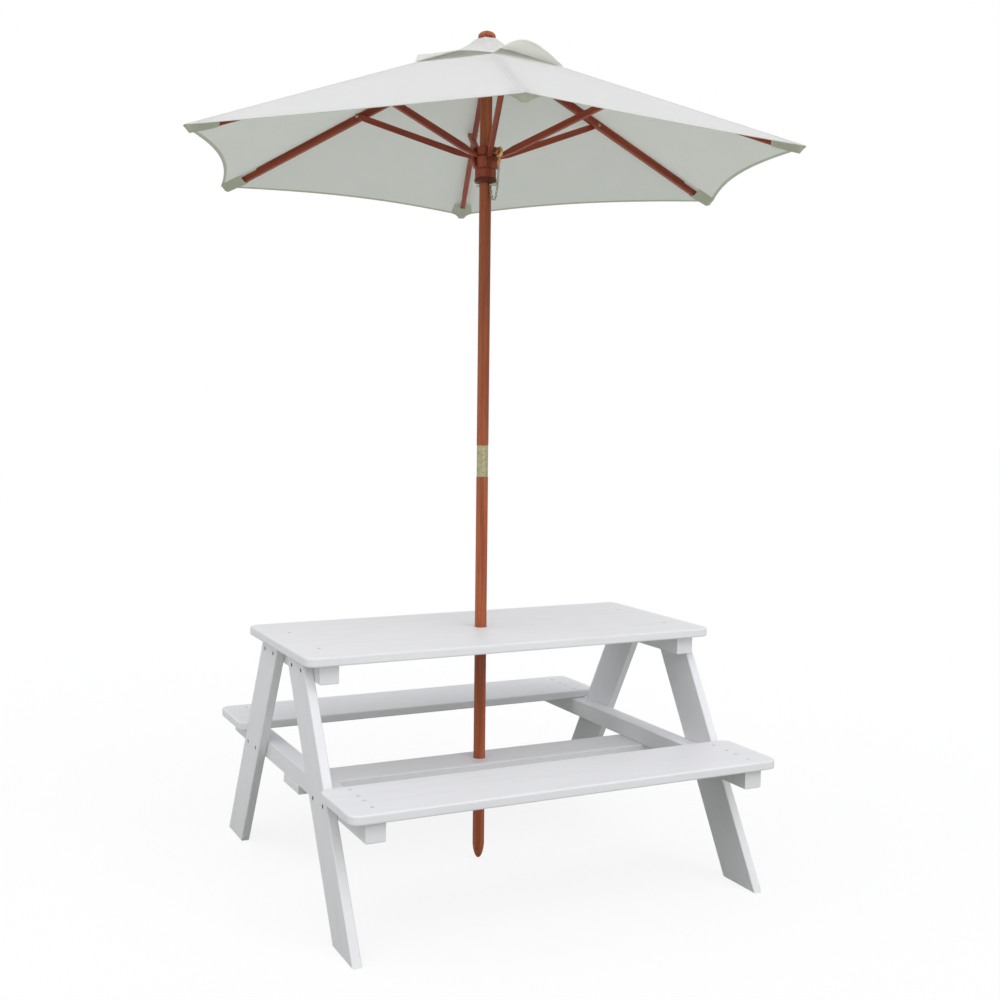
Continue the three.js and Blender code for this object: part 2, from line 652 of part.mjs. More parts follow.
// Cloth: a closed skin over six panels whose ridges lie over the ribs. Along a panel
// the share u runs from one ridge to the next, and rows run from the middle to the hem.
function panelSkin({ rows, tipRadius, tipWidth, scallop, panelSteps, ridgeZ, lift }) {
  const tipShare = tipWidth / 2 / tipRadius;
  const cornerRadius = tipRadius / (1 - tipShare / 2);
  const shares = [0, tipShare];
  for (let step = 1; step < panelSteps; step += 1) {
    shares.push(tipShare + (1 - 2 * tipShare) * step / panelSteps);
  }
  shares.push(1 - tipShare);

  const hemRadius = (u) => {
    if (u === 0) return tipRadius;
    const v = (u - tipShare) / (1 - 2 * tipShare);
    return cornerRadius - scallop * 4 * v * (1 - v);
  };
  const ridgePoint = (index, radius) => {
    const turn = azimuth(index);
    return new THREE.Vector3(
      radius * Math.cos(turn) + SIDE_OFFSET * Math.sin(turn),
      radius * Math.sin(turn) - SIDE_OFFSET * Math.cos(turn),
      ridgeZ(radius),
    );
  };

  const columns = RIB_COUNT * shares.length;
  const top = [];
  const underside = [];
  for (let index = 0; index < RIB_COUNT; index += 1) {
    for (const u of shares) {
      for (const row of rows) {
        const radius = row.radius + row.hemShare * (hemRadius(u) - row.radius);
        const point = ridgePoint(index, radius).lerp(ridgePoint(index + 1, radius), u);
        point.z += lift(index, u, row.hemShare);
        top.push(point.x, point.y, point.z);
        underside.push(point.x, point.y, point.z - CLOTH_THICKNESS);
      }
    }
  }

  const count = rows.length;
  const below = columns * count;
  const at = (column, row) => (column % columns) * count + row;
  const faces = [];
  const quad = (a, b, c, d) => faces.push(a, b, c, a, c, d);
  for (let column = 0; column < columns; column += 1) {
    for (let row = 0; row + 1 < count; row += 1) {
      const a = at(column, row);
      const b = at(column, row + 1);
      const c = at(column + 1, row + 1);
      const d = at(column + 1, row);
      quad(a, b, c, d);
      quad(below + d, below + c, below + b, below + a);
    }
    const inner = [at(column, 0), at(column + 1, 0)];
    const hem = [at(column, count - 1), at(column + 1, count - 1)];
    quad(inner[0], inner[1], below + inner[1], below + inner[0]);
    quad(hem[1], hem[0], below + hem[0], below + hem[1]);
  }
  const geometry = new THREE.BufferGeometry();
  geometry.setAttribute('position', new THREE.Float32BufferAttribute([...top, ...underside], 3));
  geometry.setIndex(faces);
  return closed(geometry);
}

// The cloth clears the corners of a rib's flat top, beside its ridge
const ridgeClearance = RIB_WIDTH / 2 * Math.tan(Math.PI / RIB_COUNT) * Math.tan(RIB_SLOPE) + 2 * CLEAR;
const ridgeStart = CROWN_PIVOT_HEIGHT + RIB_DEPTH / 2 / Math.cos(RIB_SLOPE)
  + ridgeClearance + CLOTH_THICKNESS;
const canopyRidge = (radius) => ridgeStart - (radius - HUB_PIVOT_RADIUS) * Math.tan(RIB_SLOPE);

add('canopy', panelSkin({
  rows: [0, 1 / 3, 2 / 3, 1].map((hemShare) => ({ radius: VENT_RADIUS, hemShare })),
  tipRadius: CANOPY_RADIUS,
  tipWidth: CANOPY_TIP_WIDTH,
  scallop: CANOPY_SCALLOP,
  panelSteps: 9,
  ridgeZ: canopyRidge,
  lift: () => 0,
}), cloth());

// Vent cap: clamped under the finial and pulled down at the ribs. Between them it is
// slack, and its hem lifts by a share of its own on each panel. A high curl keeps a
// panel low until just before its hem.
const capTop = CROWN_TOP + CLEAR + CLOTH_THICKNESS;
const capHem = canopyRidge(CAP_RADIUS) + 2 * CLEAR + CLOTH_THICKNESS;
const capFlat = (CROWN_COLLAR_RADIUS + 2 * CLEAR) / Math.cos(Math.PI / RIB_COUNT);
const capRidge = (radius) => capTop
  - Math.max(0, radius - capFlat) / (CAP_RADIUS - capFlat) * (capTop - capHem);
const CAP_ROW_SHARES = [0, 0.3, 0.55, 0.8, 1];
const CAP_PANEL_SHARES = [
  { lift: 1, curl: 3.2 },
  { lift: 0.5, curl: 1.4 },
  { lift: 0.62, curl: 1.6 },
  { lift: 0.5, curl: 1.4 },
  { lift: 0.83, curl: 1.3 },
  { lift: 0.38, curl: 1.3 },
];
add('vent_cap', panelSkin({
  rows: [
    { radius: FINIAL_DOWEL_RADIUS + CAP_HOLE_CLEARANCE, hemShare: 0 },
    ...CAP_ROW_SHARES.map((hemShare) => ({ radius: capFlat, hemShare })),
  ],
  tipRadius: CAP_RADIUS,
  tipWidth: CAP_TIP_WIDTH,
  scallop: CAP_SCALLOP,
  panelSteps: 7,
  ridgeZ: capRidge,
  lift: (index, u, hemShare) => {
    const panel = CAP_PANEL_SHARES[index];
    return CAP_LIFT * panel.lift * Math.sin(Math.PI * u) * hemShare ** panel.curl;
  },
}), cloth());

export default part;
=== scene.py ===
# %% [markdown]
# # A children's picnic table with a parasol
#
# The real object is a white-painted A-frame table with two attached benches, and a hardwood
# parasol that stands through the middle of the tabletop. The rigid pieces arrive as a finished
# model. This lesson gives them their finishes, makes the cloth as curved sheets, and adds the
# small hardware: screw heads, hinge wires, a locking pin and its chain.

# %% Load the rigid model as a fixed frame
import math

import bmesh
import bpy
from mathutils import Euler, Matrix, Vector


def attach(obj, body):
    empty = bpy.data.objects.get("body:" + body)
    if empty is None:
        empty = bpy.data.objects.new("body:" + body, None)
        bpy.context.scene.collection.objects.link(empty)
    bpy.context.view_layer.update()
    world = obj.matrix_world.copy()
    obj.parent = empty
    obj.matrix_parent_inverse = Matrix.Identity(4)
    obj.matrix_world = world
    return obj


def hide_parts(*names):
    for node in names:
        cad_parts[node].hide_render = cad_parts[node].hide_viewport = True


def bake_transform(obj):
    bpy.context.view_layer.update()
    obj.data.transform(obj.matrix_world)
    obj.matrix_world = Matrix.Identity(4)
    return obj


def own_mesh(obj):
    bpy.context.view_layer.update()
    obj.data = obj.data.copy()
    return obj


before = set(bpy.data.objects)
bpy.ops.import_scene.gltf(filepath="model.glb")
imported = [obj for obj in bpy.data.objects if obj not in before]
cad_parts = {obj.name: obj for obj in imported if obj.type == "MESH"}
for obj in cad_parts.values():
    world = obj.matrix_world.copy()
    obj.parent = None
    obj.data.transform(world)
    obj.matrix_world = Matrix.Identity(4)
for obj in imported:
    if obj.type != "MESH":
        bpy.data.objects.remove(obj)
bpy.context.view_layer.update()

MM = 0.001

# %% [markdown]
# ## Camera
#
# The photograph was taken from the table's near left, a little above bench height. The
# camera's place, angles and focal length were fitted to the corners of the boards. Its axes are
# written as a matrix, because a small roll is hard to read from three angles.

# %% Place the camera where the photograph was taken
CAMERA_PLACE = Vector((-1.17933, -2.48782, 0.97189))
CAMERA_YAW, CAMERA_PITCH, CAMERA_ROLL = (math.radians(a) for a in (26.1583, -4.0880, 0.6755))
SENSOR_WIDTH = 36.0
FOCAL_SHARE = 1.30213
VIEW_REACH = 100

ahead = Vector((
    math.sin(CAMERA_YAW) * math.cos(CAMERA_PITCH),
    math.cos(CAMERA_YAW) * math.cos(CAMERA_PITCH),
    math.sin(CAMERA_PITCH),
))
level_right = Vector((math.cos(CAMERA_YAW), -math.sin(CAMERA_YAW), 0))
level_up = level_right.cross(ahead)
right = level_right * math.cos(CAMERA_ROLL) + level_up * math.sin(CAMERA_ROLL)
up = level_up * math.cos(CAMERA_ROLL) - level_right * math.sin(CAMERA_ROLL)

lens = bpy.data.cameras.new("photograph_camera")
lens.sensor_fit = "HORIZONTAL"
lens.sensor_width = SENSOR_WIDTH
lens.lens = SENSOR_WIDTH * FOCAL_SHARE
lens.clip_end = VIEW_REACH
camera = bpy.data.objects.new("photograph_camera", lens)
turn = Matrix((right, up, -ahead)).transposed().to_4x4()
camera.matrix_world = Matrix.Translation(CAMERA_PLACE) @ turn
bpy.context.scene.collection.objects.link(camera)
bpy.context.scene.camera = camera
print("focal length in mm:", round(lens.lens, 2))

# %% [markdown]
# ## Helpers for colours and nodes
#
# Every finish below is a short node tree. One function turns a paint-chart hex colour into the
# linear values that a shader works in. The other adds a node with its settings and its links,
# and reads the sockets by the names that Blender shows, so each tree can be followed on screen.

# %% Colour and node helpers
def linear(hex_colour):
    """A '#RRGGBB' sRGB colour as linear RGBA."""
    channels = [int(hex_colour[i:i + 2], 16) / 255 for i in (1, 3, 5)]
    return [c / 12.92 if c <= 0.04045 else ((c + 0.055) / 1.055) ** 2.4 for c in channels] + [1]


def add(tree, kind, inputs=(), **settings):
    """Add a node. inputs maps a socket's name or number to a value, a hex colour, an output
    or a node, which stands for its first output in use."""
    made = tree.nodes.new(kind)
    for name, value in settings.items():
        setattr(made, name, value)
    for key, value in dict(inputs).items():
        named = [s for s in made.inputs if s.enabled and s.name == key]
        socket = named[0] if named else made.inputs[key]
        if isinstance(value, bpy.types.Node):
            value = next(s for s in value.outputs if s.enabled)
        if isinstance(value, bpy.types.NodeSocket):
            tree.links.new(value, socket)
        else:
            socket.default_value = linear(value) if isinstance(value, str) else value
    return made


def new_material(name):
    """A material with an empty node tree."""
    made = bpy.data.materials.new(name)
    made.use_nodes = True
    made.node_tree.nodes.clear()
    return made, made.node_tree

# %% [markdown]
# ## A pattern that follows the grain
#
# Wood shows its grain along each stick, so a pattern has to be turned to the stick's direction
# and drawn out along it. Noise on Object coordinates, turned by one Mapping node and stretched
# by a second, does this without any UV map.

# %% Streaks along a direction
def streaks(tree, along, long_mm, wide_mm, detail=3.0, roughness=0.55):
    """Noise in streaks of about long_mm by wide_mm, laid along a direction."""
    x, y, z = along
    laid = add(tree, "ShaderNodeMapping", {
        "Vector": add(tree, "ShaderNodeTexCoord").outputs["Object"],
        "Rotation": Euler((0, -math.atan2(z, math.hypot(x, y)), math.atan2(y, x))),
    }, vector_type="TEXTURE")
    drawn = add(tree, "ShaderNodeMapping", {
        "Vector": laid,
        "Scale": (1 / (long_mm * MM), 1 / (wide_mm * MM), 1 / (wide_mm * MM)),
    })
    noise = add(tree, "ShaderNodeTexNoise", {
        "Vector": drawn, "Scale": 1.0, "Detail": detail, "Roughness": roughness,
    })
    return noise.outputs[0]

# %% [markdown]
# ## White paint on softwood
#
# The boards are planed softwood under two coats of satin white. Such paint hides the colour of
# the wood but not its grain: the harder rings stand a few hundredths of a millimetre proud and
# catch the light as soft lines along each board. So the colour barely changes and the bump does
# the work. Rings in planed boards lie about 5 mm apart, and brush marks about 1.6 mm. An image
# of painted wood could give the same, but it would repeat and would need a UV map.

# %% White paint, one material for each direction of the grain
PAINT_WHITE = "#EBEAEC"
PAINT_SHADE = "#E8E7E9"
RING_SPACING_MM = 5
BRUSH_SPACING_MM = 1.6


def painted_softwood(name, along):
    made, tree = new_material(name)
    rings = streaks(tree, along, 220, RING_SPACING_MM)
    brush = streaks(tree, along, 60, BRUSH_SPACING_MM, detail=1.5)
    thin_coat = add(tree, "ShaderNodeMapRange", {
        "Value": streaks(tree, along, 140, 22, detail=2.0), "From Min": 0.42, "From Max": 0.75,
    }, interpolation_type="SMOOTHSTEP")
    colour = add(tree, "ShaderNodeMix", {
        "Factor": thin_coat, "A": PAINT_WHITE, "B": PAINT_SHADE,
    }, data_type="RGBA")
    relief = add(tree, "ShaderNodeMath", {0: rings, 1: brush}, operation="ADD")
    bump = add(tree, "ShaderNodeBump", {"Height": relief, "Strength": 0.06, "Distance": 0.8 * MM})
    sheen = add(tree, "ShaderNodeMapRange", {"Value": brush, "To Min": 0.42, "To Max": 0.58})
    shader = add(tree, "ShaderNodeBsdfPrincipled", {
        "Base Color": colour, "Roughness": sheen, "Specular IOR Level": 0.33, "Normal": bump,
    })
    add(tree, "ShaderNodeOutputMaterial", {"Surface": shader})
    return made


LEG_LEAN = math.radians(30.4)
paint_along_x = painted_softwood("white_paint_boards", (1, 0, 0))
paint_along_y = painted_softwood("white_paint_beams", (0, 1, 0))
paint_near_legs = painted_softwood(
    "white_paint_near_legs", (0, math.sin(LEG_LEAN), math.cos(LEG_LEAN)))
paint_far_legs = painted_softwood(
    "white_paint_far_legs", (0, -math.sin(LEG_LEAN), math.cos(LEG_LEAN)))
print("lean of a leg in degrees:", round(math.degrees(LEG_LEAN), 1))

# %% [markdown]
# ## Oiled red hardwood
#
# The parasol's timber is a red tropical hardwood such as meranti, stained and oiled. It shows
# long, slightly darker growth bands and short dark pores, both along the piece. The bands could
# be cut from one Wave texture, but its rings look machined, so both come from stretched noise.
# Real pores are 0.3 mm wide, which is finer than a pixel here, so they are drawn 1.5 mm wide.

# %% Hardwood, turned along each pole, rib and strut
WOOD_LIGHT = "#B0603A"
WOOD_MIDDLE = "#964928"
WOOD_DARK = "#6E2D18"
# The ribs, struts and runner lie under the canopy. They take a darker, redder copy of the same
# wood: painted shade.
SHADED_STICK_LIGHT = "#A04A2D"
SHADED_STICK_MIDDLE = "#873621"
BAND_WIDTH_MM = 9
PORE_WIDTH_MM = 1.5


def oiled_hardwood(name, along, light=WOOD_LIGHT, middle=WOOD_MIDDLE):
    made, tree = new_material(name)
    bands = streaks(tree, along, 260, BAND_WIDTH_MM, detail=2.0)
    pores = streaks(tree, along, 26, PORE_WIDTH_MM, detail=2.0, roughness=0.7)
    banding = add(tree, "ShaderNodeMapRange", {
        "Value": bands, "From Min": 0.36, "From Max": 0.66,
    }, interpolation_type="SMOOTHSTEP")
    timber = add(tree, "ShaderNodeMix", {
        "Factor": banding, "A": light, "B": middle,
    }, data_type="RGBA")
    open_pores = add(tree, "ShaderNodeMapRange", {
        "Value": pores, "From Min": 0.56, "From Max": 0.76, "To Max": 0.8,
    }, interpolation_type="SMOOTHSTEP")
    colour = add(tree, "ShaderNodeMix", {
        "Factor": open_pores, "A": timber, "B": WOOD_DARK,
    }, data_type="RGBA")
    bump = add(tree, "ShaderNodeBump", {"Height": pores, "Strength": 0.2, "Distance": -0.3 * MM})
    shader = add(tree, "ShaderNodeBsdfPrincipled", {
        "Base Color": colour, "Roughness": 0.52, "Specular IOR Level": 0.35, "Normal": bump,
    })
    add(tree, "ShaderNodeOutputMaterial", {"Surface": shader})
    return made


RIB_COUNT = 6
RIB_SLOPE = math.radians(21.05)
AZIMUTHS = [math.radians(-109.48) + k * 2 * math.pi / RIB_COUNT for k in range(RIB_COUNT)]
UP = Vector((0, 0, 1))


def outward(azimuth):
    return Vector((math.cos(azimuth), math.sin(azimuth), 0))


def sideways(azimuth):
    """Towards the next rib."""
    return Vector((-math.sin(azimuth), math.cos(azimuth), 0))


def down_the_rib(azimuth):
    return outward(azimuth) * math.cos(RIB_SLOPE) - UP * math.sin(RIB_SLOPE)


def square_to_rib(azimuth):
    """Up from a rib, towards the cloth on it."""
    return outward(azimuth) * math.sin(RIB_SLOPE) + UP * math.cos(RIB_SLOPE)


hardwood_upright = oiled_hardwood("oiled_hardwood_turned", UP)
# The ribs and the struts take the darker copy of the wood, which is painted shade.
rib_woods = [
    oiled_hardwood(f"oiled_hardwood_rib_{k + 1}", down_the_rib(a), SHADED_STICK_LIGHT, SHADED_STICK_MIDDLE)
    for k, a in enumerate(AZIMUTHS)]
strut_woods = [
    oiled_hardwood(f"oiled_hardwood_strut_{k + 1}",
                   outward(a) * math.cos(RIB_SLOPE) + UP * math.sin(RIB_SLOPE),
                   SHADED_STICK_LIGHT, SHADED_STICK_MIDDLE)
    for k, a in enumerate(AZIMUTHS)]
print("hardwood finishes:", 1 + len(rib_woods) + len(strut_woods))

# %% [markdown]
# The runner's lowest ring is stained nearly black. It is one piece with the runner. A second
# material could be given to its faces, but they would have to be picked out one by one. So the
# stain is set by height on Object coordinates, in the same material.

# %% The runner's wood, with a dark flange
FLANGE_TOP = 1446.5 * MM
STAIN_EDGE = 0.4 * MM
STAIN_COVER = 0.8
STAIN_COLOUR = "#4A1A10"

# The runner takes the darker copy of the wood as well: painted shade under the canopy.
hardwood_runner = oiled_hardwood("oiled_hardwood_runner", UP, SHADED_STICK_LIGHT, SHADED_STICK_MIDDLE)
runner_tree = hardwood_runner.node_tree
runner_shader = next(n for n in runner_tree.nodes if n.bl_idname == "ShaderNodeBsdfPrincipled")
bare_wood = runner_shader.inputs["Base Color"].links[0].from_socket
up_the_pole = add(runner_tree, "ShaderNodeSeparateXYZ", {
    "Vector": add(runner_tree, "ShaderNodeTexCoord").outputs["Object"],
}).outputs["Z"]
stain_share = add(runner_tree, "ShaderNodeMapRange", {
    "Value": up_the_pole, "From Min": FLANGE_TOP + STAIN_EDGE, "From Max": FLANGE_TOP - STAIN_EDGE,
    "To Max": STAIN_COVER,
})
stained_wood = add(runner_tree, "ShaderNodeMix", {
    "Factor": stain_share, "A": bare_wood, "B": STAIN_COLOUR,
}, data_type="RGBA")
runner_tree.links.new(next(s for s in stained_wood.outputs if s.enabled),
                      runner_shader.inputs["Base Color"])
print("the runner's wood is stained below mm:", round(FLANGE_TOP / MM, 1))

# %% [markdown]
# ## Metal
#
# Several metals show: pale lacquered brass on the ferrule and rivets, warmer bare brass on the
# screw eye and swivel, dark zinc on the leg screws, nickel on the pin and its chain, a hinge
# wire that took the wood's stain, and zinc under a skin of paint on the screws in the boards. A
# metal's look lies almost wholly in its roughness, so each gets uneven patches of it, about
# 6 mm across, as handling leaves them.

# %% Metals
WEAR_PATCH_MM = 6


def handled_metal(name, colour, worn, roughness, metallic=1.0):
    made, tree = new_material(name)
    patches = add(tree, "ShaderNodeTexNoise", {
        "Vector": add(tree, "ShaderNodeTexCoord").outputs["Object"],
        "Scale": 1 / (WEAR_PATCH_MM * MM), "Detail": 3.0,
    }).outputs[0]
    wear = add(tree, "ShaderNodeMapRange", {
        "Value": patches, "From Min": 0.4, "From Max": 0.7,
    }, interpolation_type="SMOOTHSTEP")
    tint = add(tree, "ShaderNodeMix", {"Factor": wear, "A": colour, "B": worn}, data_type="RGBA")
    uneven = add(tree, "ShaderNodeMapRange", {
        "Value": patches, "To Min": roughness - 0.06, "To Max": roughness + 0.1,
    })
    shader = add(tree, "ShaderNodeBsdfPrincipled", {
        "Base Color": tint, "Roughness": uneven, "Metallic": metallic,
    })
    add(tree, "ShaderNodeOutputMaterial", {"Surface": shader})
    return made


pale_brass = handled_metal("pale_lacquered_brass", "#A7A284", "#8F8A66", 0.4)
dark_zinc = handled_metal("dark_zinc_steel", "#55585A", "#3C3F41", 0.5)
warm_brass = handled_metal("warm_bare_brass", "#E0B27C", "#BC8C56", 0.42)
stained_wire = handled_metal("steel_wire_with_wood_stain", "#5B3A2E", "#43261C", 0.5, metallic=0.6)
nickel = handled_metal("nickel_plated_steel", "#B9B7A8", "#86836F", 0.34)
painted_screw = handled_metal("zinc_screw_under_paint", "#C6C8C8", "#AFB2B2", 0.5, metallic=0.0)
print("width of a worn patch in mm:", WEAR_PATCH_MM)

# %% [markdown]
# ## Canopy cloth
#
# The canopy is an off-white woven polyester. Daylight comes through it, and less comes through
# where two layers lie over each other, so from below the hems and the corner pockets look olive.
# A Translucent shader mixed in lets the light through, and the olive is also painted into their
# colour as painted shade. The ring under the vent cap looks olive too: a painted shadow of the
# cap. The sheets carry a UV map in metres: across the panel from its rib, and up the panel from
# its hem. The material reads it, so hem and stitches follow the cut of the cloth.

# %% Colours of the cloth, and the widths of its seams and threads
# The topside is neutral. The underside's colours are darker and greener than the topside's:
# painted shade, in the tint of light that has come through the cloth and off the ground.
CLOTH_TOP = "#F4F1F3"
CLOTH_UNDER_SHADED = "#E8E9E7"
# Two layers of cloth look darker from below. This colour is partly painted shade there, and it also
# paints the shadow of the vent cap.
SHADED_DOUBLED_CLOTH = "#CBCDC2"
CLOTH_GLOW = "#F4F6F1"
DOUBLED_OR_SHADOWED_GLOW = "#CCCEB9"
THREAD_COLOUR = "#D9DAD2"
# The ring under the cap is a painted shadow of the cap. The cap already shades the cloth below
# it, so the ring takes only a part of the olive tint.
PAINTED_CAP_SHADOW_SHARE = 0.4
# The share of the light that the cloth lets through. A pocket is folded cloth and lets less pass.
SEE_THROUGH = 0.4
CAP_SEE_THROUGH = 0.55
POCKET_SEE_THROUGH = 0.12
SEAM_WIDTH = 11 * MM
HEM_WIDTH = 8 * MM
STITCH_INSET = 2.2 * MM
STITCH_LENGTH = 4.5 * MM
# Real threads lie 0.4 mm apart, too fine to show, so they are drawn four times as wide.
THREAD_SPACING = 1.6 * MM
# A wave texture at scale 1 repeats at this distance in metres.
WAVE_PERIOD = math.pi / 10

# %% [markdown]
# The stitches are a thin line at a fixed distance from the seam or hem, broken by a wave along
# it. The crossed threads of the weave are two waves multiplied. Modelled threads would be many
# thousands of faces for something that hardly shows, so the material draws them. Soft creases
# of about 80 mm keep the large white faces from looking like card.

# %% The woven cloth, seen from above or from below
def woven_cloth(name, plain, shade, layered_or_shaded, layered_or_shaded_glow, see_through):
    """plain and shade colour one layer. The third colour is for two layers or the painted cap
    shadow.
    """
    made, tree = new_material(name)
    chart = add(tree, "ShaderNodeTexCoord").outputs["UV"]
    across, up_from_hem, _ = add(tree, "ShaderNodeSeparateXYZ", {"Vector": chart}).outputs
    under_cap = add(tree, "ShaderNodeMapRange", {
        "Value": add(tree, "ShaderNodeAttribute", attribute_name="under_cap").outputs["Fac"],
        "From Min": 1.01, "From Max": 0.99,
    })
    hem = add(tree, "ShaderNodeMapRange", {
        "Value": up_from_hem, "From Min": HEM_WIDTH + 0.5 * MM, "From Max": HEM_WIDTH - 0.5 * MM,
    })
    # Under the vent cap the cloth takes a painted shadow of the cap.
    cap_shade = add(tree, "ShaderNodeMath", {0: under_cap, 1: PAINTED_CAP_SHADOW_SHARE},
                    operation="MULTIPLY")
    hem_or_cap_shadow = add(tree, "ShaderNodeMath", {0: cap_shade, 1: hem}, operation="MAXIMUM")
    clouds = streaks(tree, (1, 0, 0), 80, 80, detail=2.0)
    colour = add(tree, "ShaderNodeMix", {"Factor": clouds, "A": plain, "B": shade},
                 data_type="RGBA")
    # Hems take the darker colour as painted shade over two real layers, and the ring under the cap
    # takes it as the cap's painted shadow.
    colour = add(tree, "ShaderNodeMix", {"Factor": hem_or_cap_shadow, "A": colour, "B": layered_or_shaded},
                 data_type="RGBA")
    for distance, inset, along in ((across, SEAM_WIDTH, "Y"), (up_from_hem, HEM_WIDTH, "X")):
        on_line = add(tree, "ShaderNodeMath", {0: distance, 1: inset - STITCH_INSET, 2: 1 * MM},
                      operation="COMPARE")
        dash = add(tree, "ShaderNodeTexWave", {
            "Vector": chart, "Scale": WAVE_PERIOD / STITCH_LENGTH,
        }, bands_direction=along).outputs[1]
        row = add(tree, "ShaderNodeMath", {0: on_line, 1: dash}, operation="MULTIPLY")
        colour = add(tree, "ShaderNodeMix", {"Factor": row, "A": colour, "B": THREAD_COLOUR},
                     data_type="RGBA")
    # Less light passes through a hem. Under the vent cap the dimmer glow is the cap's painted
    # shadow.
    through = add(tree, "ShaderNodeMix", {"Factor": hem_or_cap_shadow, "A": CLOTH_GLOW,
                                          "B": layered_or_shaded_glow}, data_type="RGBA")
    threads = [
        add(tree, "ShaderNodeTexWave", {"Vector": chart, "Scale": WAVE_PERIOD / THREAD_SPACING},
            bands_direction=direction).outputs[1]
        for direction in ("X", "Y")]
    weave = add(tree, "ShaderNodeMath", {0: threads[0], 1: threads[1]}, operation="MULTIPLY")
    fine = add(tree, "ShaderNodeBump", {"Height": weave, "Strength": 0.1, "Distance": 0.3 * MM})
    creased = add(tree, "ShaderNodeBump", {
        "Height": clouds, "Strength": 0.35, "Distance": 6 * MM, "Normal": fine,
    })
    cloth = add(tree, "ShaderNodeBsdfPrincipled", {
        "Base Color": colour, "Roughness": 0.85, "Specular IOR Level": 0.2,
        "Sheen Weight": 0.1, "Normal": creased,
    })
    glow = add(tree, "ShaderNodeBsdfTranslucent", {"Color": through})
    surface = add(tree, "ShaderNodeMixShader", {0: see_through, 1: cloth, 2: glow})
    add(tree, "ShaderNodeOutputMaterial", {"Surface": surface})
    return made


# On the topside the hem takes a slightly darker colour, and so does the cloth under the vent cap,
# where it is the cap's painted shadow.
cloth_top = woven_cloth("woven_polyester_top", CLOTH_TOP, "#EFEDEE", "#ECECE8", CLOTH_GLOW,
                        SEE_THROUGH)
# The underside is a darker, greener copy of the topside's cloth: painted shade.
painted_shade_underside = woven_cloth("woven_polyester_underside", CLOTH_UNDER_SHADED, "#E1E3E0", SHADED_DOUBLED_CLOTH,
                          DOUBLED_OR_SHADOWED_GLOW, SEE_THROUGH)
# The cap's underside is the same cloth in brighter colours than the canopy's underside: painted
# light.
painted_light_cap_underside = woven_cloth("woven_polyester_cap_underside", "#FBFCF8", "#F8F9F4", "#F4F6EE",
                        CLOTH_GLOW, CAP_SEE_THROUGH)
# A pocket is two layers of cloth and lets less light through. Its olive colour is partly painted
# shade.
shaded_pocket_cloth = woven_cloth("woven_polyester_pocket", "#D9DAC5", "#D0D0B9", "#C5C6AE",
                           DOUBLED_OR_SHADOWED_GLOW, POCKET_SEE_THROUGH)
print("width of a drawn thread in mm:", THREAD_SPACING / MM)

# %% [markdown]
# ## Dress the rigid pieces
#
# A piece whose shape is already right only needs its finish. The grain must run along every
# stick, so boards, beams, legs, ribs and struts each take the material that was turned to
# their direction.

# %% Give every rigid piece its finish
FINISHES = {
    "screw_": dark_zinc,
    "cleat_": paint_along_y, "beam_": paint_along_y,
    "leg_near": paint_near_legs, "leg_far": paint_far_legs,
    "tabletop": paint_along_x, "bench_": paint_along_x, "stretcher": paint_along_x,
    "ferrule": pale_brass, "runner_eye": pale_brass, "rivet_": pale_brass,
    "lower_pole": hardwood_upright, "upper_pole": hardwood_upright, "crown": hardwood_upright,
    "runner": hardwood_runner, "finial": hardwood_upright,
}
FINISHES |= {f"rib_{k + 1}": wood for k, wood in enumerate(rib_woods)}
FINISHES |= {f"strut_{k + 1}": wood for k, wood in enumerate(strut_woods)}
dressed = 0
for node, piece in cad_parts.items():
    starts = [start for start in FINISHES if node.startswith(start)]
    if starts:
        piece.data.materials.clear()
        piece.data.materials.append(FINISHES[max(starts, key=len)])
        dressed += 1
print("rigid pieces dressed:", dressed)

# %% [markdown]
# ## From points to a finished mesh
#
# Pieces that are made from code come out of one small workshop: their doubled corners are
# merged, their faces are turned outward, and they are shaded smooth except at real edges.

# %% Finish a mesh as a piece
MERGE_DISTANCE = 1e-6


def finished(name, mesh, materials, sharp=35):
    """sharp is the angle in degrees past which an edge stays sharp."""
    work = bmesh.new()
    work.from_mesh(mesh)
    bmesh.ops.remove_doubles(work, verts=work.verts, dist=MERGE_DISTANCE)
    bmesh.ops.recalc_face_normals(work, faces=work.faces)
    work.to_mesh(mesh)
    work.free()
    mesh.materials.clear()
    for material in materials:
        mesh.materials.append(material)
    mesh.shade_smooth()
    mesh.set_sharp_from_angle(angle=math.radians(sharp))
    piece = bpy.data.objects.new(name, mesh)
    bpy.context.scene.collection.objects.link(piece)
    return piece

# %% [markdown]
# ## Cloth as a thin closed shell
#
# A real cloth has two faces with a small thickness between them. A sheet is described by two
# grids of points, one for each face, and joined round its edges. A Solidify modifier could add
# the thickness, but it would push neighbouring panels apart along their shared edge. The face
# that looks out takes one material and the other face and the edges take a second one.

# %% Build a sheet from two grids of points
# The under_cap mark is 1 at the cap's hem and grows outward, and below 1 the cloth takes the
# painted shadow of the cap. Cloth elsewhere takes this one.
FAR_FROM_CAP = 9.0


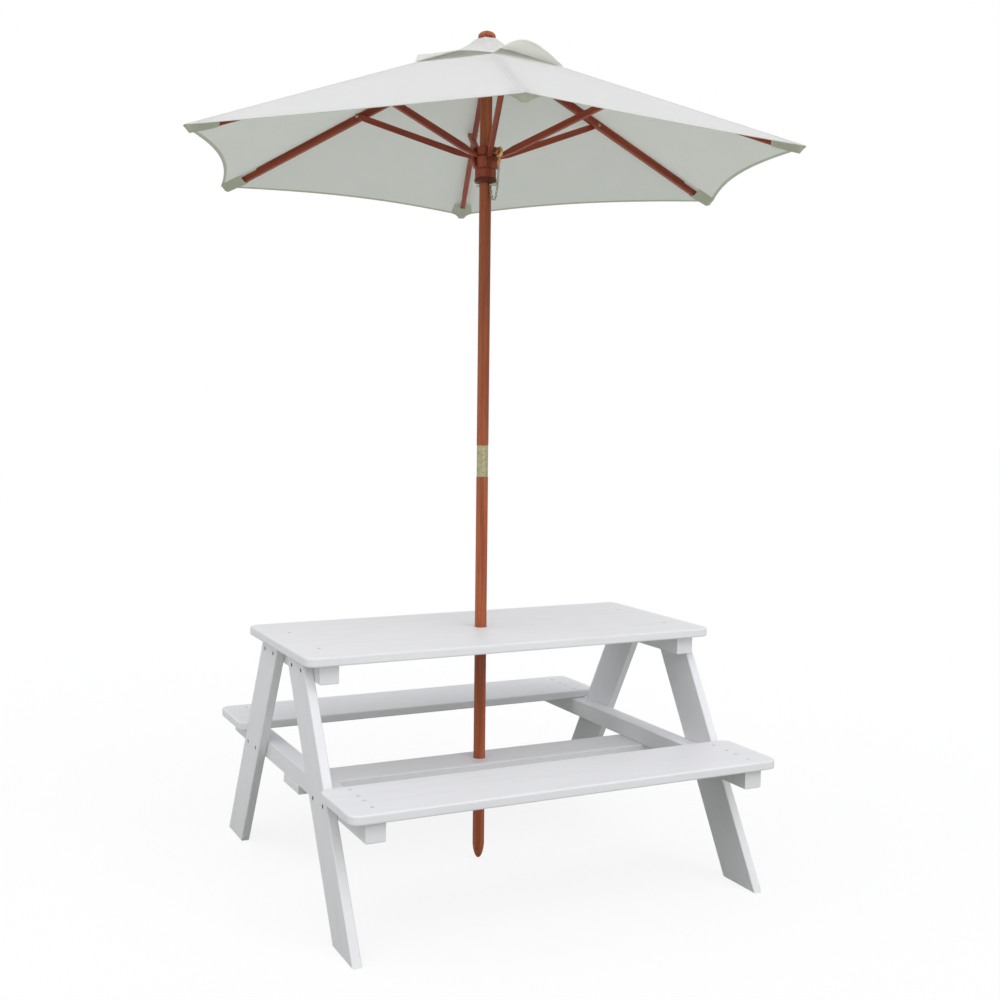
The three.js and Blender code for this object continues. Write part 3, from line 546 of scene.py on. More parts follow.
def cloth_shell(name, outer, inner, chart, materials, under_cap=None):
    """Grids are lists of columns of points. chart holds each point's place on the flat cloth."""
    columns, rows = len(outer), len(outer[0])
    count = columns * rows
    verts = [tuple(p) for grid in (outer, inner) for column in grid for p in column]
    faces, slots = [], []
    for column in range(columns - 1):
        for row in range(rows - 1):
            a = column * rows + row
            b, c, d = a + 1, a + rows + 1, a + rows
            faces += [(a, b, c, d), (count + d, count + c, count + b, count + a)]
            slots += [0, 1]
    rim = [k * rows for k in range(columns)]
    rim += [(columns - 1) * rows + k for k in range(1, rows)]
    rim += [k * rows + rows - 1 for k in range(columns - 2, -1, -1)]
    rim += list(range(rows - 2, 0, -1))
    for a, b in zip(rim, rim[1:] + rim[:1]):
        faces.append((a, b, count + b, count + a))
        slots.append(1)
    mesh = bpy.data.meshes.new(name)
    mesh.from_pydata(verts, [], faces)
    flat = [place for column in chart for place in column]
    cut = mesh.uv_layers.new(name="cut")
    for loop in mesh.loops:
        cut.data[loop.index].uv = flat[loop.vertex_index % count]
    shares = [s for column in under_cap for s in column] if under_cap else [FAR_FROM_CAP] * count
    mark = mesh.attributes.new("under_cap", "FLOAT", "POINT")
    mark.data.foreach_set("value", shares * 2)
    piece = finished(name, mesh, materials, sharp=50)
    # Clearing a mesh's materials resets the slot of every face, so the slots are set last.
    mesh.polygons.foreach_set("material_index", slots)
    area = sum(p.area for p in piece.data.polygons) / 2
    size = [max(place[axis] for place in flat) for axis in (0, 1)]
    return piece, area, size

# %% [markdown]
# ## The canopy as curved sheets
#
# Six ribs hold one taut cloth. Its ridges lie on the ribs, it dips slightly between them, and
# its hem is cut in a scallop. When the parasol folds, each rib takes the half panels beside it
# down with it. So the cloth is made as twelve half panels that share their edges exactly: at
# rest they join into one continuous sheet. Simulated cloth could hang here too, but taut cloth
# on straight ribs follows a simple rule.

# %% Sizes of the canopy, and where its ridges and its hem lie
SIDE_OFFSET = 5.15 * MM
PIVOT_RADIUS = 27 * MM
CROWN_PIVOT_HEIGHT = 1700.5 * MM
RIDGE_START = 1711.98 * MM
CANOPY_RADIUS = 660 * MM
CANOPY_TIP_WIDTH = 15 * MM
CANOPY_SCALLOP = 36 * MM
VENT_RADIUS = 40 * MM
CAP_RADIUS = 170 * MM
CAP_TIP_WIDTH = 8 * MM
CAP_SCALLOP = 8 * MM
CLOTH_THICKNESS = 0.8 * MM
PANEL_SAG = 7 * MM
SAG_AT_VENT = 0.25
CANOPY_COLUMNS, CANOPY_ROWS = 14, 18


def canopy_ridge(radius):
    return RIDGE_START - (radius - PIVOT_RADIUS) * math.tan(RIB_SLOPE)


def ridge_point(index, radius, height):
    """On the ridge over a rib. The ribs stand a little to one side of the pole's middle."""
    azimuth = AZIMUTHS[index % RIB_COUNT]
    return (outward(azimuth) * radius - sideways(azimuth) * SIDE_OFFSET + UP * height(radius))


def hem_reach(share, tip_radius, tip_width, scallop):
    """How far the cloth reaches at a share of the way from one ridge to the next."""
    tip_share = tip_width / 2 / tip_radius
    corner = tip_radius / (1 - tip_share / 2)
    inner = (share - tip_share) / (1 - 2 * tip_share)
    return tip_radius if share == 0 else corner - scallop * 4 * inner * (1 - inner)


def share_steps(tip_share, columns):
    """From the ridge to the middle of the panel, finer towards the middle."""
    return [0, tip_share] + [
        tip_share + (0.5 - tip_share) * math.sin(math.pi / 2 * (k + 1) / columns)
        for k in range(columns)]


print("height of the canopy's corners in mm:", round(canopy_ridge(CANOPY_RADIUS) / MM))

# %% [markdown]
# A half panel starts as straight lines from a point on one ridge to the same point on the next,
# cut off in the middle. Then each point is lowered by the sag, or lifted by the wind.

# %% One half panel, from a ridge to the middle of the panel beside it
def half_panel(name, index, step, shares, start, reach, rows, height, lift, materials):
    """step is 1 towards the next rib and -1 towards the last one."""
    outer, inner, chart, covered = [], [], [], []
    for share in shares:
        end = reach(share)
        cap_end = hem_reach(share, CAP_RADIUS, CAP_TIP_WIDTH, CAP_SCALLOP)
        column, place, cover = [], [], []
        for row in range(rows + 1):
            radius = start + (end - start) * row / rows
            here = ridge_point(index, radius, height)
            there = ridge_point(index + step, radius, height)
            column.append(here.lerp(there, share) + UP * lift(share, radius, end))
            place.append((share * (there - here).length, (end - radius) / math.cos(RIB_SLOPE)))
            cover.append(radius / cap_end)
        outer.append(column)
        inner.append([p - UP * CLOTH_THICKNESS for p in column])
        chart.append(place)
        covered.append(cover)
    # Only the canopy lies under the cap, so only it takes the cap's painted shadow.
    under_cap = covered if height is canopy_ridge else None
    return cloth_shell(name, outer, inner, chart, materials, under_cap)

# %% [markdown]
# When the parasol is closed, the cloth of each half panel hangs as a pleat from its rib. There are
# twelve half panels, one on each side of each rib.

# %% The twelve half panels
SIDE_NAMES = {1: "left", -1: "right"}
HALVES = [(index, step) for index in range(RIB_COUNT) for step in (1, -1)]


print("half panels:", len(HALVES))

# %% [markdown]
# Each half panel stands in for the rigid canopy, and it moves with the rib that it lies on.

# %% Hang the twelve half panels on their ribs
def canopy_reach(share):
    return hem_reach(share, CANOPY_RADIUS, CANOPY_TIP_WIDTH, CANOPY_SCALLOP)


def panel_sag(share, radius, end):
    down = (radius - VENT_RADIUS) / (end - VENT_RADIUS)
    return -PANEL_SAG * 4 * share * (1 - share) * (SAG_AT_VENT + (1 - SAG_AT_VENT) * down)


canopy_shares = share_steps(CANOPY_TIP_WIDTH / 2 / CANOPY_RADIUS, CANOPY_COLUMNS)
canopy_area = 0
for index, step in HALVES:
    panel, area, size = half_panel(
        f"canopy_panel_{index + 1}_{SIDE_NAMES[step]}", index, step, canopy_shares, VENT_RADIUS,
        canopy_reach, CANOPY_ROWS, canopy_ridge, panel_sag, (cloth_top, painted_shade_underside))
    canopy_area += area
    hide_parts("canopy")
    ridge_point(index, VENT_RADIUS, canopy_ridge)
    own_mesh(panel)
    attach(panel, f"rib_{index + 1}")
print("canopy cloth in square metres:", round(canopy_area, 3))

# %% [markdown]
# ## The vent cap
#
# A second, smaller cloth covers the vent in the middle. It is clamped under the finial, falls
# steeply beside it and then lies on the ridges, where it is sewn down. Between them it is slack,
# and the wind lifts its hem by a different amount on each panel. A simulation would lift all six
# in its own way, so each panel has two numbers instead, matched to the photograph. A high curl
# keeps a panel low until just before its hem.

# %% The shape of the vent cap
CAP_TOP = 1729.5 * MM
CAP_START = 6.5 * MM
CAP_FLAT = 20.9 * MM
CAP_LIES = 78 * MM
CAP_ABOVE = 1.8 * MM
CAP_LIFT = 36 * MM
CAP_COLUMNS, CAP_ROWS = 12, 26
# How far the wind lifts each panel, as a share of CAP_LIFT, and how late the lift starts.
CAP_PANELS = [(1, 3.2), (0.5, 1.4), (0.62, 1.6), (0.5, 1.4), (0.83, 1.3), (0.3, 1.8)]


def cap_reach(share):
    return hem_reach(share, CAP_RADIUS, CAP_TIP_WIDTH, CAP_SCALLOP)


def cap_ridge(radius):
    lying = canopy_ridge(radius) + CAP_ABOVE
    down = min(1, max(0, radius - CAP_FLAT) / (CAP_LIES - CAP_FLAT))
    return lying + (CAP_TOP - lying) * (1 - down) ** 3


def cap_lift(panel):
    lift_share, curl = CAP_PANELS[panel % RIB_COUNT]

    def lift(share, radius, end):
        down = max(0, radius - CAP_FLAT) / (cap_reach(share) - CAP_FLAT)
        return CAP_LIFT * lift_share * math.sin(math.pi * share) * down ** curl
    return lift


print("height of the cap's corners in mm:", round(cap_ridge(CAP_RADIUS) / MM))

# %% [markdown]
# The middle of the cap stays on the pole when the parasol is closed, and its hem goes down with
# the ribs. Here each half panel is made in its open shape, and stays in place.

# %% Make the vent cap
CAP_BEND_END = 190 * MM
cap_shares = share_steps(CAP_TIP_WIDTH / 2 / CAP_RADIUS, CAP_COLUMNS)
cap_area = 0
for index, step in HALVES:
    panel, area, size = half_panel(
        f"cap_panel_{index + 1}_{SIDE_NAMES[step]}", index, step, cap_shares, CAP_START,
        cap_reach, CAP_ROWS, cap_ridge, cap_lift(index if step > 0 else index - 1),
        (cloth_top, painted_light_cap_underside))
    cap_area += area
    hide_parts("vent_cap")
    ridge_point(index, CAP_FLAT, cap_ridge)
    ridge_point(index, CAP_BEND_END, cap_ridge)
    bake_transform(panel)
print("cap cloth in square metres:", round(cap_area, 3))

# %% [markdown]
# ## Corner pockets
#
# Each rib's tip sits in a pocket that is sewn under the corner of the canopy, and that is what
# keeps the cloth taut. A pocket is a patch of cloth: open at its mouth, sewn down along its
# sides, and cut to the hem at the corner. The rib pushes it down in the middle like a tent
# pole. It could be sculpted, but a row of cross sections in the rib's own directions, along it,
# across it and square to it, keeps the same small gap to the rib all round.

# %% The shape of a pocket
POCKET_MOUTH = 613 * MM
POCKET_END = 673.4 * MM
POCKET_MOUTH_HALF = 21 * MM
POCKET_FLARE = 0.13
HEM_HALF_AT_TIP = 6.7 * MM
HEM_TIP_ALONG = 674.7 * MM
HEM_FLARE = 1.207
RIB_LENGTH = 668 * MM
RIB_TAPER_START = 626 * MM
RIB_HALF_DEPTH = 8 * MM
RIB_TIP_HALF_DEPTH = 5 * MM
RIB_HALF_WIDTH = 5 * MM
# The canopy's underside over a rib, and how much it falls away to each side.
CLOTH_OVER_RIB = 9.6 * MM
CLOTH_SIDE_FALL = 0.2515
POCKET_STATIONS = [0, 0.12, 0.3, 0.5, 0.66, 0.745, 0.83, 0.915, 0.935, 0.96, 0.98, 1]
EASE_UNDER_RIB = 0.4 * MM
EASE_BESIDE_RIB = 1.3 * MM
EASE_PAST_TIP = 0.3 * MM
# The patch slopes from its sewn edges, at 1, to the rib, at 0, along these points.
SLOPE_ACROSS = (0.68, 0.36, 0.1)
SLOPE_RISE = (0.66, 0.34, 0.1)
EDGE_ROUNDING = 1 * MM
# The patch starts this far into its chart, so that no stitches of a hem or seam cross it.
PATCH_MARGIN = 20 * MM


def pocket_section(along, inset):
    """Points across the pocket at a distance along the rib: (sideways, square to the rib)."""
    half = min(POCKET_MOUTH_HALF + POCKET_FLARE * (along - POCKET_MOUTH),
               HEM_HALF_AT_TIP + HEM_FLARE * (HEM_TIP_ALONG - along)) - inset
    taper = max(0, along - RIB_TAPER_START) / (RIB_LENGTH - RIB_TAPER_START)
    bottom = (-RIB_HALF_DEPTH + min(taper, 1) * (RIB_HALF_DEPTH - RIB_TIP_HALF_DEPTH)
              - EASE_UNDER_RIB - CLOTH_THICKNESS + inset)
    past_tip = (max(0, along - RIB_LENGTH - EASE_PAST_TIP)
                / (POCKET_END - RIB_LENGTH - EASE_PAST_TIP))
    snug = RIB_HALF_WIDTH + EASE_BESIDE_RIB - inset
    across = [half] + [snug + (half - snug) * s for s in SLOPE_ACROSS]
    across += [snug - EDGE_ROUNDING, snug * 0.4]
    rise = [1, *SLOPE_RISE, 0, 0]
    section = []
    for t, share in zip(across, rise):
        roof = CLOTH_OVER_RIB - CLOTH_SIDE_FALL * t
        sewn = share + (1 - share) * past_tip
        section.append((t, bottom + (roof - bottom) * sewn))
    middle = bottom + (CLOTH_OVER_RIB - bottom) * past_tip
    return [(-t, h) for t, h in section] + [(0, middle)] + section[::-1]


print("points across a pocket:", len(pocket_section(POCKET_MOUTH, 0)))

# %% [markdown]
# The sections are set along each rib, once for either face of the cloth. The chart is measured
# along the patch itself, as if it were cut from flat cloth.

# %% Sew a pocket under each corner
for index, azimuth in enumerate(AZIMUTHS):
    pivot = (outward(azimuth) * PIVOT_RADIUS - sideways(azimuth) * SIDE_OFFSET
             + UP * CROWN_PIVOT_HEIGHT)
    stations = [POCKET_MOUTH + s * (POCKET_END - POCKET_MOUTH) for s in POCKET_STATIONS]
    grids = [
        [[pivot + down_the_rib(azimuth) * along + sideways(azimuth) * t + square_to_rib(azimuth) * h
          for t, h in pocket_section(along, inset)]
         for along in stations]
        for inset in (0, CLOTH_THICKNESS)]
    chart = []
    for column in grids[0]:
        walked, places = PATCH_MARGIN, []
        for k, point in enumerate(column):
            walked += (point - column[k - 1]).length if k else 0
            places.append((walked, PATCH_MARGIN + (column[0] - grids[0][0][0]).length))
        chart.append(places)
    pocket, area, _ = cloth_shell(f"corner_pocket_{index + 1}", *grids, chart,
                                  (shaded_pocket_cloth, shaded_pocket_cloth))
    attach(pocket, f"rib_{index + 1}")
print("pocket cloth in square centimetres:", round(area * 1e4, 1))

# %% [markdown]
# ## Bent wire and turned metal
#
# The small hardware is either bent from wire or turned on a lathe. A wire is a curve with a
# round bevel, baked to a mesh. A turned piece is a profile of radii and heights, spun about its
# axis and stood along any direction. A Screw modifier spins a profile as well, but its axis
# would then need an object of its own.

# %% Two ways to make small hardware
RING_STEPS = 28


def wire(name, paths, radius, material, closed=False):
    curve = bpy.data.curves.new(name, "CURVE")
    curve.dimensions = "3D"
    curve.bevel_depth = radius
    curve.bevel_resolution = 2
    curve.use_fill_caps = not closed
    for path in paths:
        spline = curve.splines.new("POLY")
        spline.points.add(len(path) - 1)
        spline.use_cyclic_u = closed
        for point, place in zip(spline.points, path):
            point.co = (*place, 1)
    holder = bpy.data.objects.new(name, curve)
    bpy.context.scene.collection.objects.link(holder)
    seen = holder.evaluated_get(bpy.context.evaluated_depsgraph_get())
    mesh = bpy.data.meshes.new_from_object(seen)
    bpy.data.objects.remove(holder)
    return finished(name, mesh, [material])


def turned(name, profile, place, axis, material, sides=20):
    """profile lists (radius, height) in mm, from one end on the axis to the other."""
    stand = Matrix.Translation(place) @ axis.to_track_quat("Z", "Y").to_matrix().to_4x4()
    verts, rings = [], []
    for radius, height in profile:
        around = sides if radius else 1
        rings.append(range(len(verts), len(verts) + around))
        verts += [stand @ Vector((radius * MM * math.cos(2 * math.pi * k / sides),
                                  radius * MM * math.sin(2 * math.pi * k / sides), height * MM))
                  for k in range(around)]
    faces = []
    for low, high in zip(rings, rings[1:]):
        for k in range(sides):
            corners = [low[k % len(low)], low[(k + 1) % len(low)],
                       high[(k + 1) % len(high)], high[k % len(high)]]
            faces.append(list(dict.fromkeys(corners)))
    mesh = bpy.data.meshes.new(name)
    mesh.from_pydata([tuple(v) for v in verts], [], [f for f in faces if len(f) > 2])
    return finished(name, mesh, [material])


def ring_path(centre, first, second, radius):
    """A circle in the plane of two directions."""
    return [centre + first * radius * math.cos(2 * math.pi * k / RING_STEPS)
            + second * radius * math.sin(2 * math.pi * k / RING_STEPS) for k in range(RING_STEPS)]

# %% [markdown]
# ## Hinge wire round the runner
#
# The struts hinge on one loop of steel wire that lies in a groove round the runner and crosses
# every notch. Where it crosses the notches it is part of the rigid model. Here it is continued
# over the teeth between them, as six short arcs. A whole ring would lie twice in the notches.

# %% Lay the hinge wire in its groove
RUNNER_PIVOT_HEIGHT = 1489.3 * MM
WIRE_RING_RADIUS = 30.3 * MM
HINGE_WIRE_RADIUS = 0.9 * MM
TOOTH_FROM, TOOTH_TO = math.radians(20.8), math.radians(59.4)
ARC_STEPS = 10
tooth_arcs = [
    [outward(azimuth + TOOTH_FROM + (TOOTH_TO - TOOTH_FROM) * k / ARC_STEPS) * WIRE_RING_RADIUS
     + UP * RUNNER_PIVOT_HEIGHT for k in range(ARC_STEPS + 1)]
    for azimuth in AZIMUTHS]
hinge_wire = wire("runner_hinge_wire", tooth_arcs, HINGE_WIRE_RADIUS, stained_wire)
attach(hinge_wire, "runner")
print("arcs of hinge wire:", len(tooth_arcs))

# %% [markdown]
# ## Locking pin
#
# A steel pin passes through the pole just under the runner and keeps the parasol open. Its tail
# shows on one side of the pole and its longer head on the other. A few cylinders could be
# joined for it, but one turned profile gives it real shoulders and a closed surface.

# %% Turn the locking pin
PIN_AZIMUTH = math.radians(-70)
PIN_HEIGHT = 1432.3 * MM
PIN_PROFILE = [
    (0, -27), (1.0, -26.8), (1.8, -24.5), (1.9, -22), (1.9, 15.6), (3.4, 15.9), (3.4, 18.2),
    (2.6, 18.8), (2.6, 24.6), (4.5, 25.2), (4.6, 31.2), (3.6, 32.6), (1.8, 33), (0, 33.1)]
pin = turned("locking_pin", PIN_PROFILE, UP * PIN_HEIGHT, outward(PIN_AZIMUTH), nickel)
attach(pin, "runner")
print("length of the pin in mm:", round(PIN_PROFILE[-1][1] - PIN_PROFILE[0][1], 1))

# %% [markdown]
# ## Screw eye and swivel
#
# A stout brass eye is screwed into the side of the runner. A swivel hangs in it, so that the
# chain doesn't twist up when the pin is turned. The swivel is a small turned barrel with a wire
# loop at its top. The ring could be a torus, but bent wire makes it like the other rings here.

# %% Screw in the eye
EYE_AZIMUTH = math.radians(-75)
EYE_RING_RADIUS = 7.8 * MM
EYE_WIRE_RADIUS = 3.5 * MM
EYE_RISE = 5 * MM
EYE_SUNK = 0.6 * MM
RUNNER_RADIUS = 30.5 * MM
EYE_CENTRE = (outward(EYE_AZIMUTH) * (RUNNER_RADIUS + EYE_WIRE_RADIUS + EYE_RING_RADIUS)
              + UP * (RUNNER_PIVOT_HEIGHT + EYE_RISE))
EYE_SHANK_PROFILE = [(0, -9), (1.4, -9), (1.4, 0), (3.4, 0.1), (3.4, 1.3), (2.2, 2), (0, 3.2)]
eye_ring = wire("screw_eye_ring", [ring_path(EYE_CENTRE, outward(EYE_AZIMUTH), UP,
                                             EYE_RING_RADIUS)], EYE_WIRE_RADIUS, warm_brass,
                closed=True)
eye_shank = turned("screw_eye_shank", EYE_SHANK_PROFILE,
                   outward(EYE_AZIMUTH) * (RUNNER_RADIUS - EYE_SUNK) + UP * EYE_CENTRE.z,
                   outward(EYE_AZIMUTH), warm_brass)
for piece in (eye_ring, eye_shank):
    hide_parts("runner_eye")
print("height of the eye in mm:", round(EYE_CENTRE.z / MM, 1))

# %% [markdown]
# The swivel hangs by its own weight, so its loop rests on the inner side of the eye's ring, and
# its place follows from the sizes of the two.

# %% Hang the swivel in the eye
SWIVEL_LOOP_RADIUS = 3.6 * MM
SWIVEL_WIRE_RADIUS = 1.1 * MM
LOOP_IN_BARREL = 0.4 * MM
loop_centre = EYE_CENTRE - UP * (EYE_RING_RADIUS - EYE_WIRE_RADIUS - SWIVEL_WIRE_RADIUS
                                 + SWIVEL_LOOP_RADIUS)
swivel_top = loop_centre - UP * (SWIVEL_LOOP_RADIUS - LOOP_IN_BARREL)
SWIVEL_PROFILE = [
    (0, 0.4), (2.0, 0), (2.4, -1.4), (4.0, -2.2), (4.2, -5.0), (3.0, -5.8), (2.2, -6.6),
    (3.0, -7.4), (4.2, -8.2), (4.2, -11.2), (3.0, -12.4), (1.6, -13.2), (1.2, -14.6), (0, -15)]
swivel = turned("chain_swivel", SWIVEL_PROFILE, swivel_top, UP, warm_brass)
swivel_loop = wire("swivel_loop", [ring_path(loop_centre, sideways(EYE_AZIMUTH), UP,
                                             SWIVEL_LOOP_RADIUS)],
                   SWIVEL_WIRE_RADIUS, warm_brass, closed=True)
for piece in (eye_ring, eye_shank, swivel, swivel_loop):
    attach(piece, "runner")
print("height of the swivel's top in mm:", round(swivel_top.z / MM, 1))

# %% [markdown]
# ## The chain
#
# A chain that hangs from two points takes the shape of a catenary. Its shape follows from the
# distance between the two ends and its length, so the length is the only thing to choose. The
# equation has no direct answer and is solved by halving an interval.

# %% Work out how the chain hangs
CHAIN_LENGTH = 108 * MM
CHAIN_STEPS = 160
CHAIN_BELOW_SWIVEL = 14.2 * MM
CHAIN_ALONG_PIN = 14.6 * MM
CHAIN_UNDER_PIN = 2.6 * MM
# The curve's parameter is sought between the span divided by WIDEST and the span times WIDEST.
HALVINGS = 80
WIDEST = 60


def catenary(start, end, length, steps):
    """Points of a chain of that length, hung between two points."""
    level = Vector((end.x - start.x, end.y - start.y, 0))
    span, rise = level.length, end.z - start.z
    target = math.sqrt(length ** 2 - rise ** 2)
    low, high = span / WIDEST, span * WIDEST
    for _ in range(HALVINGS):
        a = (low + high) / 2
        if 2 * a * math.sinh(span / 2 / a) > target:
            low = a
        else:
            high = a
    middle = span / 2 - a * math.asinh(rise / (2 * a * math.sinh(span / 2 / a)))
    walked = [a * math.sinh(-middle / a), a * math.sinh((span - middle) / a)]
    points = []
    for k in range(steps + 1):
        s = walked[0] + (walked[1] - walked[0]) * k / steps
        x = middle + a * math.asinh(s / a)
        drop = a * (math.cosh((x - middle) / a) - math.cosh(-middle / a))
        points.append(start + level * (x / span) + UP * drop)
    return points


chain_start = swivel_top - UP * CHAIN_BELOW_SWIVEL
chain_end = outward(PIN_AZIMUTH) * CHAIN_ALONG_PIN + UP * (PIN_HEIGHT - CHAIN_UNDER_PIN)
chain_path = catenary(chain_start, chain_end, CHAIN_LENGTH, CHAIN_STEPS)
print("lowest point of the chain in mm:", round(min(p.z for p in chain_path) / MM, 1))

# %% [markdown]
# Every link is the same, so Geometry Nodes place them. The tree turns the path into evenly
# spaced points, sets a link on each, and gives every second link a quarter turn. Its sizes are
# named inputs. The result is baked to a mesh, because a copy that is only an instance doesn't
# leave Blender.

# %% Helpers to run a Geometry Nodes tree and bake it
def new_geometry_tree(name, sizes):
    tree = bpy.data.node_groups.new(name, "GeometryNodeTree")
    face = tree.interface
    face.new_socket("Geometry", in_out="INPUT", socket_type="NodeSocketGeometry")
    for label, kind in sizes:
        face.new_socket(label, in_out="INPUT", socket_type=kind)
    face.new_socket("Geometry", in_out="OUTPUT", socket_type="NodeSocketGeometry")
    return tree, add(tree, "NodeGroupInput")


def bake_geometry(name, tree, verts, edges, values, material):
    """Run the tree on a frame of points and edges, and return the result as a piece."""
    base = bpy.data.meshes.new(name)
    base.from_pydata([tuple(v) for v in verts], edges, [])
    holder = bpy.data.objects.new(name, base)
    bpy.context.scene.collection.objects.link(holder)
    modifier = holder.modifiers.new(name, "NODES")
    modifier.node_group = tree
    sockets = {s.name: s.identifier for s in tree.interface.items_tree if s.in_out == "INPUT"}
    for label, value in values.items():
        modifier[sockets[label]] = value
    seen = holder.evaluated_get(bpy.context.evaluated_depsgraph_get())
    mesh = bpy.data.meshes.new_from_object(seen)
    bpy.data.objects.remove(holder)
    piece = finished(name, mesh, [material])
    print(name, "faces:", len(piece.data.polygons))
    return piece

# %% [markdown]
# A link is a round wire bent to an oval. The links stand closer together than they are long, so
# that each hooks into the next.

# %% Forge the chain
LINK_SIDES, WIRE_SIDES = 12, 5
links, link_inputs = new_geometry_tree("chain_links", [
    ("Pitch", "NodeSocketFloat"), ("Link Length", "NodeSocketFloat"),
    ("Link Width", "NodeSocketFloat"), ("Wire Radius", "NodeSocketFloat"),
    ("Finish", "NodeSocketMaterial")])
path = add(links, "GeometryNodeMeshToCurve", {"Mesh": link_inputs.outputs["Geometry"]})
spots = add(links, "GeometryNodeCurveToPoints", {
    "Curve": path, "Length": link_inputs.outputs["Pitch"],
}, mode="LENGTH")
every_second = add(links, "ShaderNodeMath", {
    0: add(links, "GeometryNodeInputIndex"), 1: 2.0,
}, operation="MODULO")
quarter = add(links, "ShaderNodeMath", {0: every_second, 1: math.pi / 2}, operation="MULTIPLY")
twist = add(links, "FunctionNodeRotateRotation", {
    "Rotation": spots.outputs["Rotation"],
    "Rotate By": add(links, "FunctionNodeEulerToRotation", {
        "Euler": add(links, "ShaderNodeCombineXYZ", {"Z": quarter}),
    }),
}, rotation_space="LOCAL")
halves = [add(links, "ShaderNodeMath", {
    0: link_inputs.outputs[label], 1: 2.0,
}, operation="DIVIDE") for label in ("Link Width", "Link Length")]
oval = add(links, "GeometryNodeTransform", {
    "Geometry": add(links, "GeometryNodeCurvePrimitiveCircle", {
        "Resolution": LINK_SIDES, "Radius": 1.0,
    }),
    "Rotation": (math.pi / 2, 0, 0),
    "Scale": add(links, "ShaderNodeCombineXYZ", {"X": halves[0], "Y": halves[1], "Z": 1.0}),
})
link = add(links, "GeometryNodeCurveToMesh", {
    "Curve": oval,
    "Profile Curve": add(links, "GeometryNodeCurvePrimitiveCircle", {
        "Resolution": WIRE_SIDES, "Radius": link_inputs.outputs["Wire Radius"],
    }),
})
hung = add(links, "GeometryNodeInstanceOnPoints", {
    "Points": spots, "Instance": link, "Rotation": twist,
})
forged = add(links, "GeometryNodeSetMaterial", {
    "Geometry": add(links, "GeometryNodeRealizeInstances", {"Geometry": hung}),
    "Material": link_inputs.outputs["Finish"],
})
add(links, "NodeGroupOutput", {"Geometry": forged})
chain = bake_geometry(
    "locking_pin_chain", links, chain_path,
    [(k, k + 1) for k in range(len(chain_path) - 1)],
    {"Pitch": 5.2 * MM, "Link Length": 7.2 * MM, "Link Width": 5.0 * MM,
     "Wire Radius": 0.85 * MM, "Finish": nickel}, nickel)
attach(chain, "runner")

# %% [markdown]
# The chain's last link goes round the pin close to the pole, on a small ring. The tree could
# set it as one more link, but it is round and stands square to the pin, so it is bent from wire.

# %% Close the chain on the pin
PIN_RING_RADIUS = 2.7 * MM
PIN_RING_WIRE_RADIUS = 0.55 * MM
pin_ring_centre = outward(PIN_AZIMUTH) * CHAIN_ALONG_PIN + UP * PIN_HEIGHT
pin_ring = wire("chain_end_ring", [ring_path(pin_ring_centre, sideways(PIN_AZIMUTH), UP,
                                             PIN_RING_RADIUS)],
                PIN_RING_WIRE_RADIUS, nickel, closed=True)
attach(pin_ring, "runner")
print("the ring's place along the pin in mm:", round(CHAIN_ALONG_PIN / MM, 1))

# %% [markdown]
# ## Screws in the boards
#
# Countersunk screws hold the ends of the tabletop and the benches to the timbers below. They
# were painted over with the boards and show only as faint round spots. One head is made with a
# cross recess, and Geometry Nodes set a copy at each place and turn each one differently, as a
# screwdriver leaves them.

# %% Make one screw head with a cross recess
HEAD_RADIUS, HEAD_PROUD, HEAD_DEPTH = 4.0, 0.25, 1.2
ARM_REACH, ARM_HALF, RECESS_DEPTH = 2.5, 0.75, 0.9
TOP_SHARE, RECESS_SHARE = 0.92, 0.8
arms = [(ARM_REACH, ARM_HALF), (ARM_HALF, ARM_HALF), (ARM_HALF, ARM_REACH)]
cross = [(x * c - y * s, x * s + y * c) for c, s in ((1, 0), (0, 1), (-1, 0), (0, -1))
         for x, y in arms]
round_edge = [(HEAD_RADIUS * x / math.hypot(x, y), HEAD_RADIUS * y / math.hypot(x, y))
              for x, y in cross]
levels = [(round_edge, 1, -HEAD_DEPTH), (round_edge, 1, 0), (round_edge, TOP_SHARE, HEAD_PROUD),
          (cross, 1, HEAD_PROUD), (cross, RECESS_SHARE, -RECESS_DEPTH)]
head_verts = [(x * size * MM, y * size * MM, z * MM) for outline, size, z in levels
              for x, y in outline]
around = len(cross)
head_faces = [(n * around + k, n * around + (k + 1) % around,
               (n + 1) * around + (k + 1) % around, (n + 1) * around + k)
              for n in range(len(levels) - 1) for k in range(around)]
head_faces += [tuple(range(around))[::-1],
               tuple((len(levels) - 1) * around + k for k in range(around))]
head_mesh = bpy.data.meshes.new("screw_head")
head_mesh.from_pydata(head_verts, [], head_faces)
screw_head = finished("screw_head", head_mesh, [painted_screw])
print("faces of one screw head:", len(head_faces))

# %% [markdown]
# The screws go where the photograph shows them, and the far bench repeats the near one turned
# about the pole. Their places are in mm from the pole.

# %% Set the screws into the boards
BENCH_TOP, TABLE_TOP = 277 * MM, 504 * MM
NEAR_BENCH_SPOTS = [(-396, -292), (-396, -334), (-396, -364), (-396, -405),
                    (397, -299), (397, -344), (397, -375), (397, -415)]
TABLE_SPOTS = [(-396, 82), (-396, -110), (397, 90), (397, -103)]
screw_places = [Vector((x * MM, y * MM, BENCH_TOP)) for x, y in NEAR_BENCH_SPOTS]
screw_places += [Vector((-x * MM, -y * MM, BENCH_TOP)) for x, y in NEAR_BENCH_SPOTS]
screw_places += [Vector((x * MM, y * MM, TABLE_TOP)) for x, y in TABLE_SPOTS]

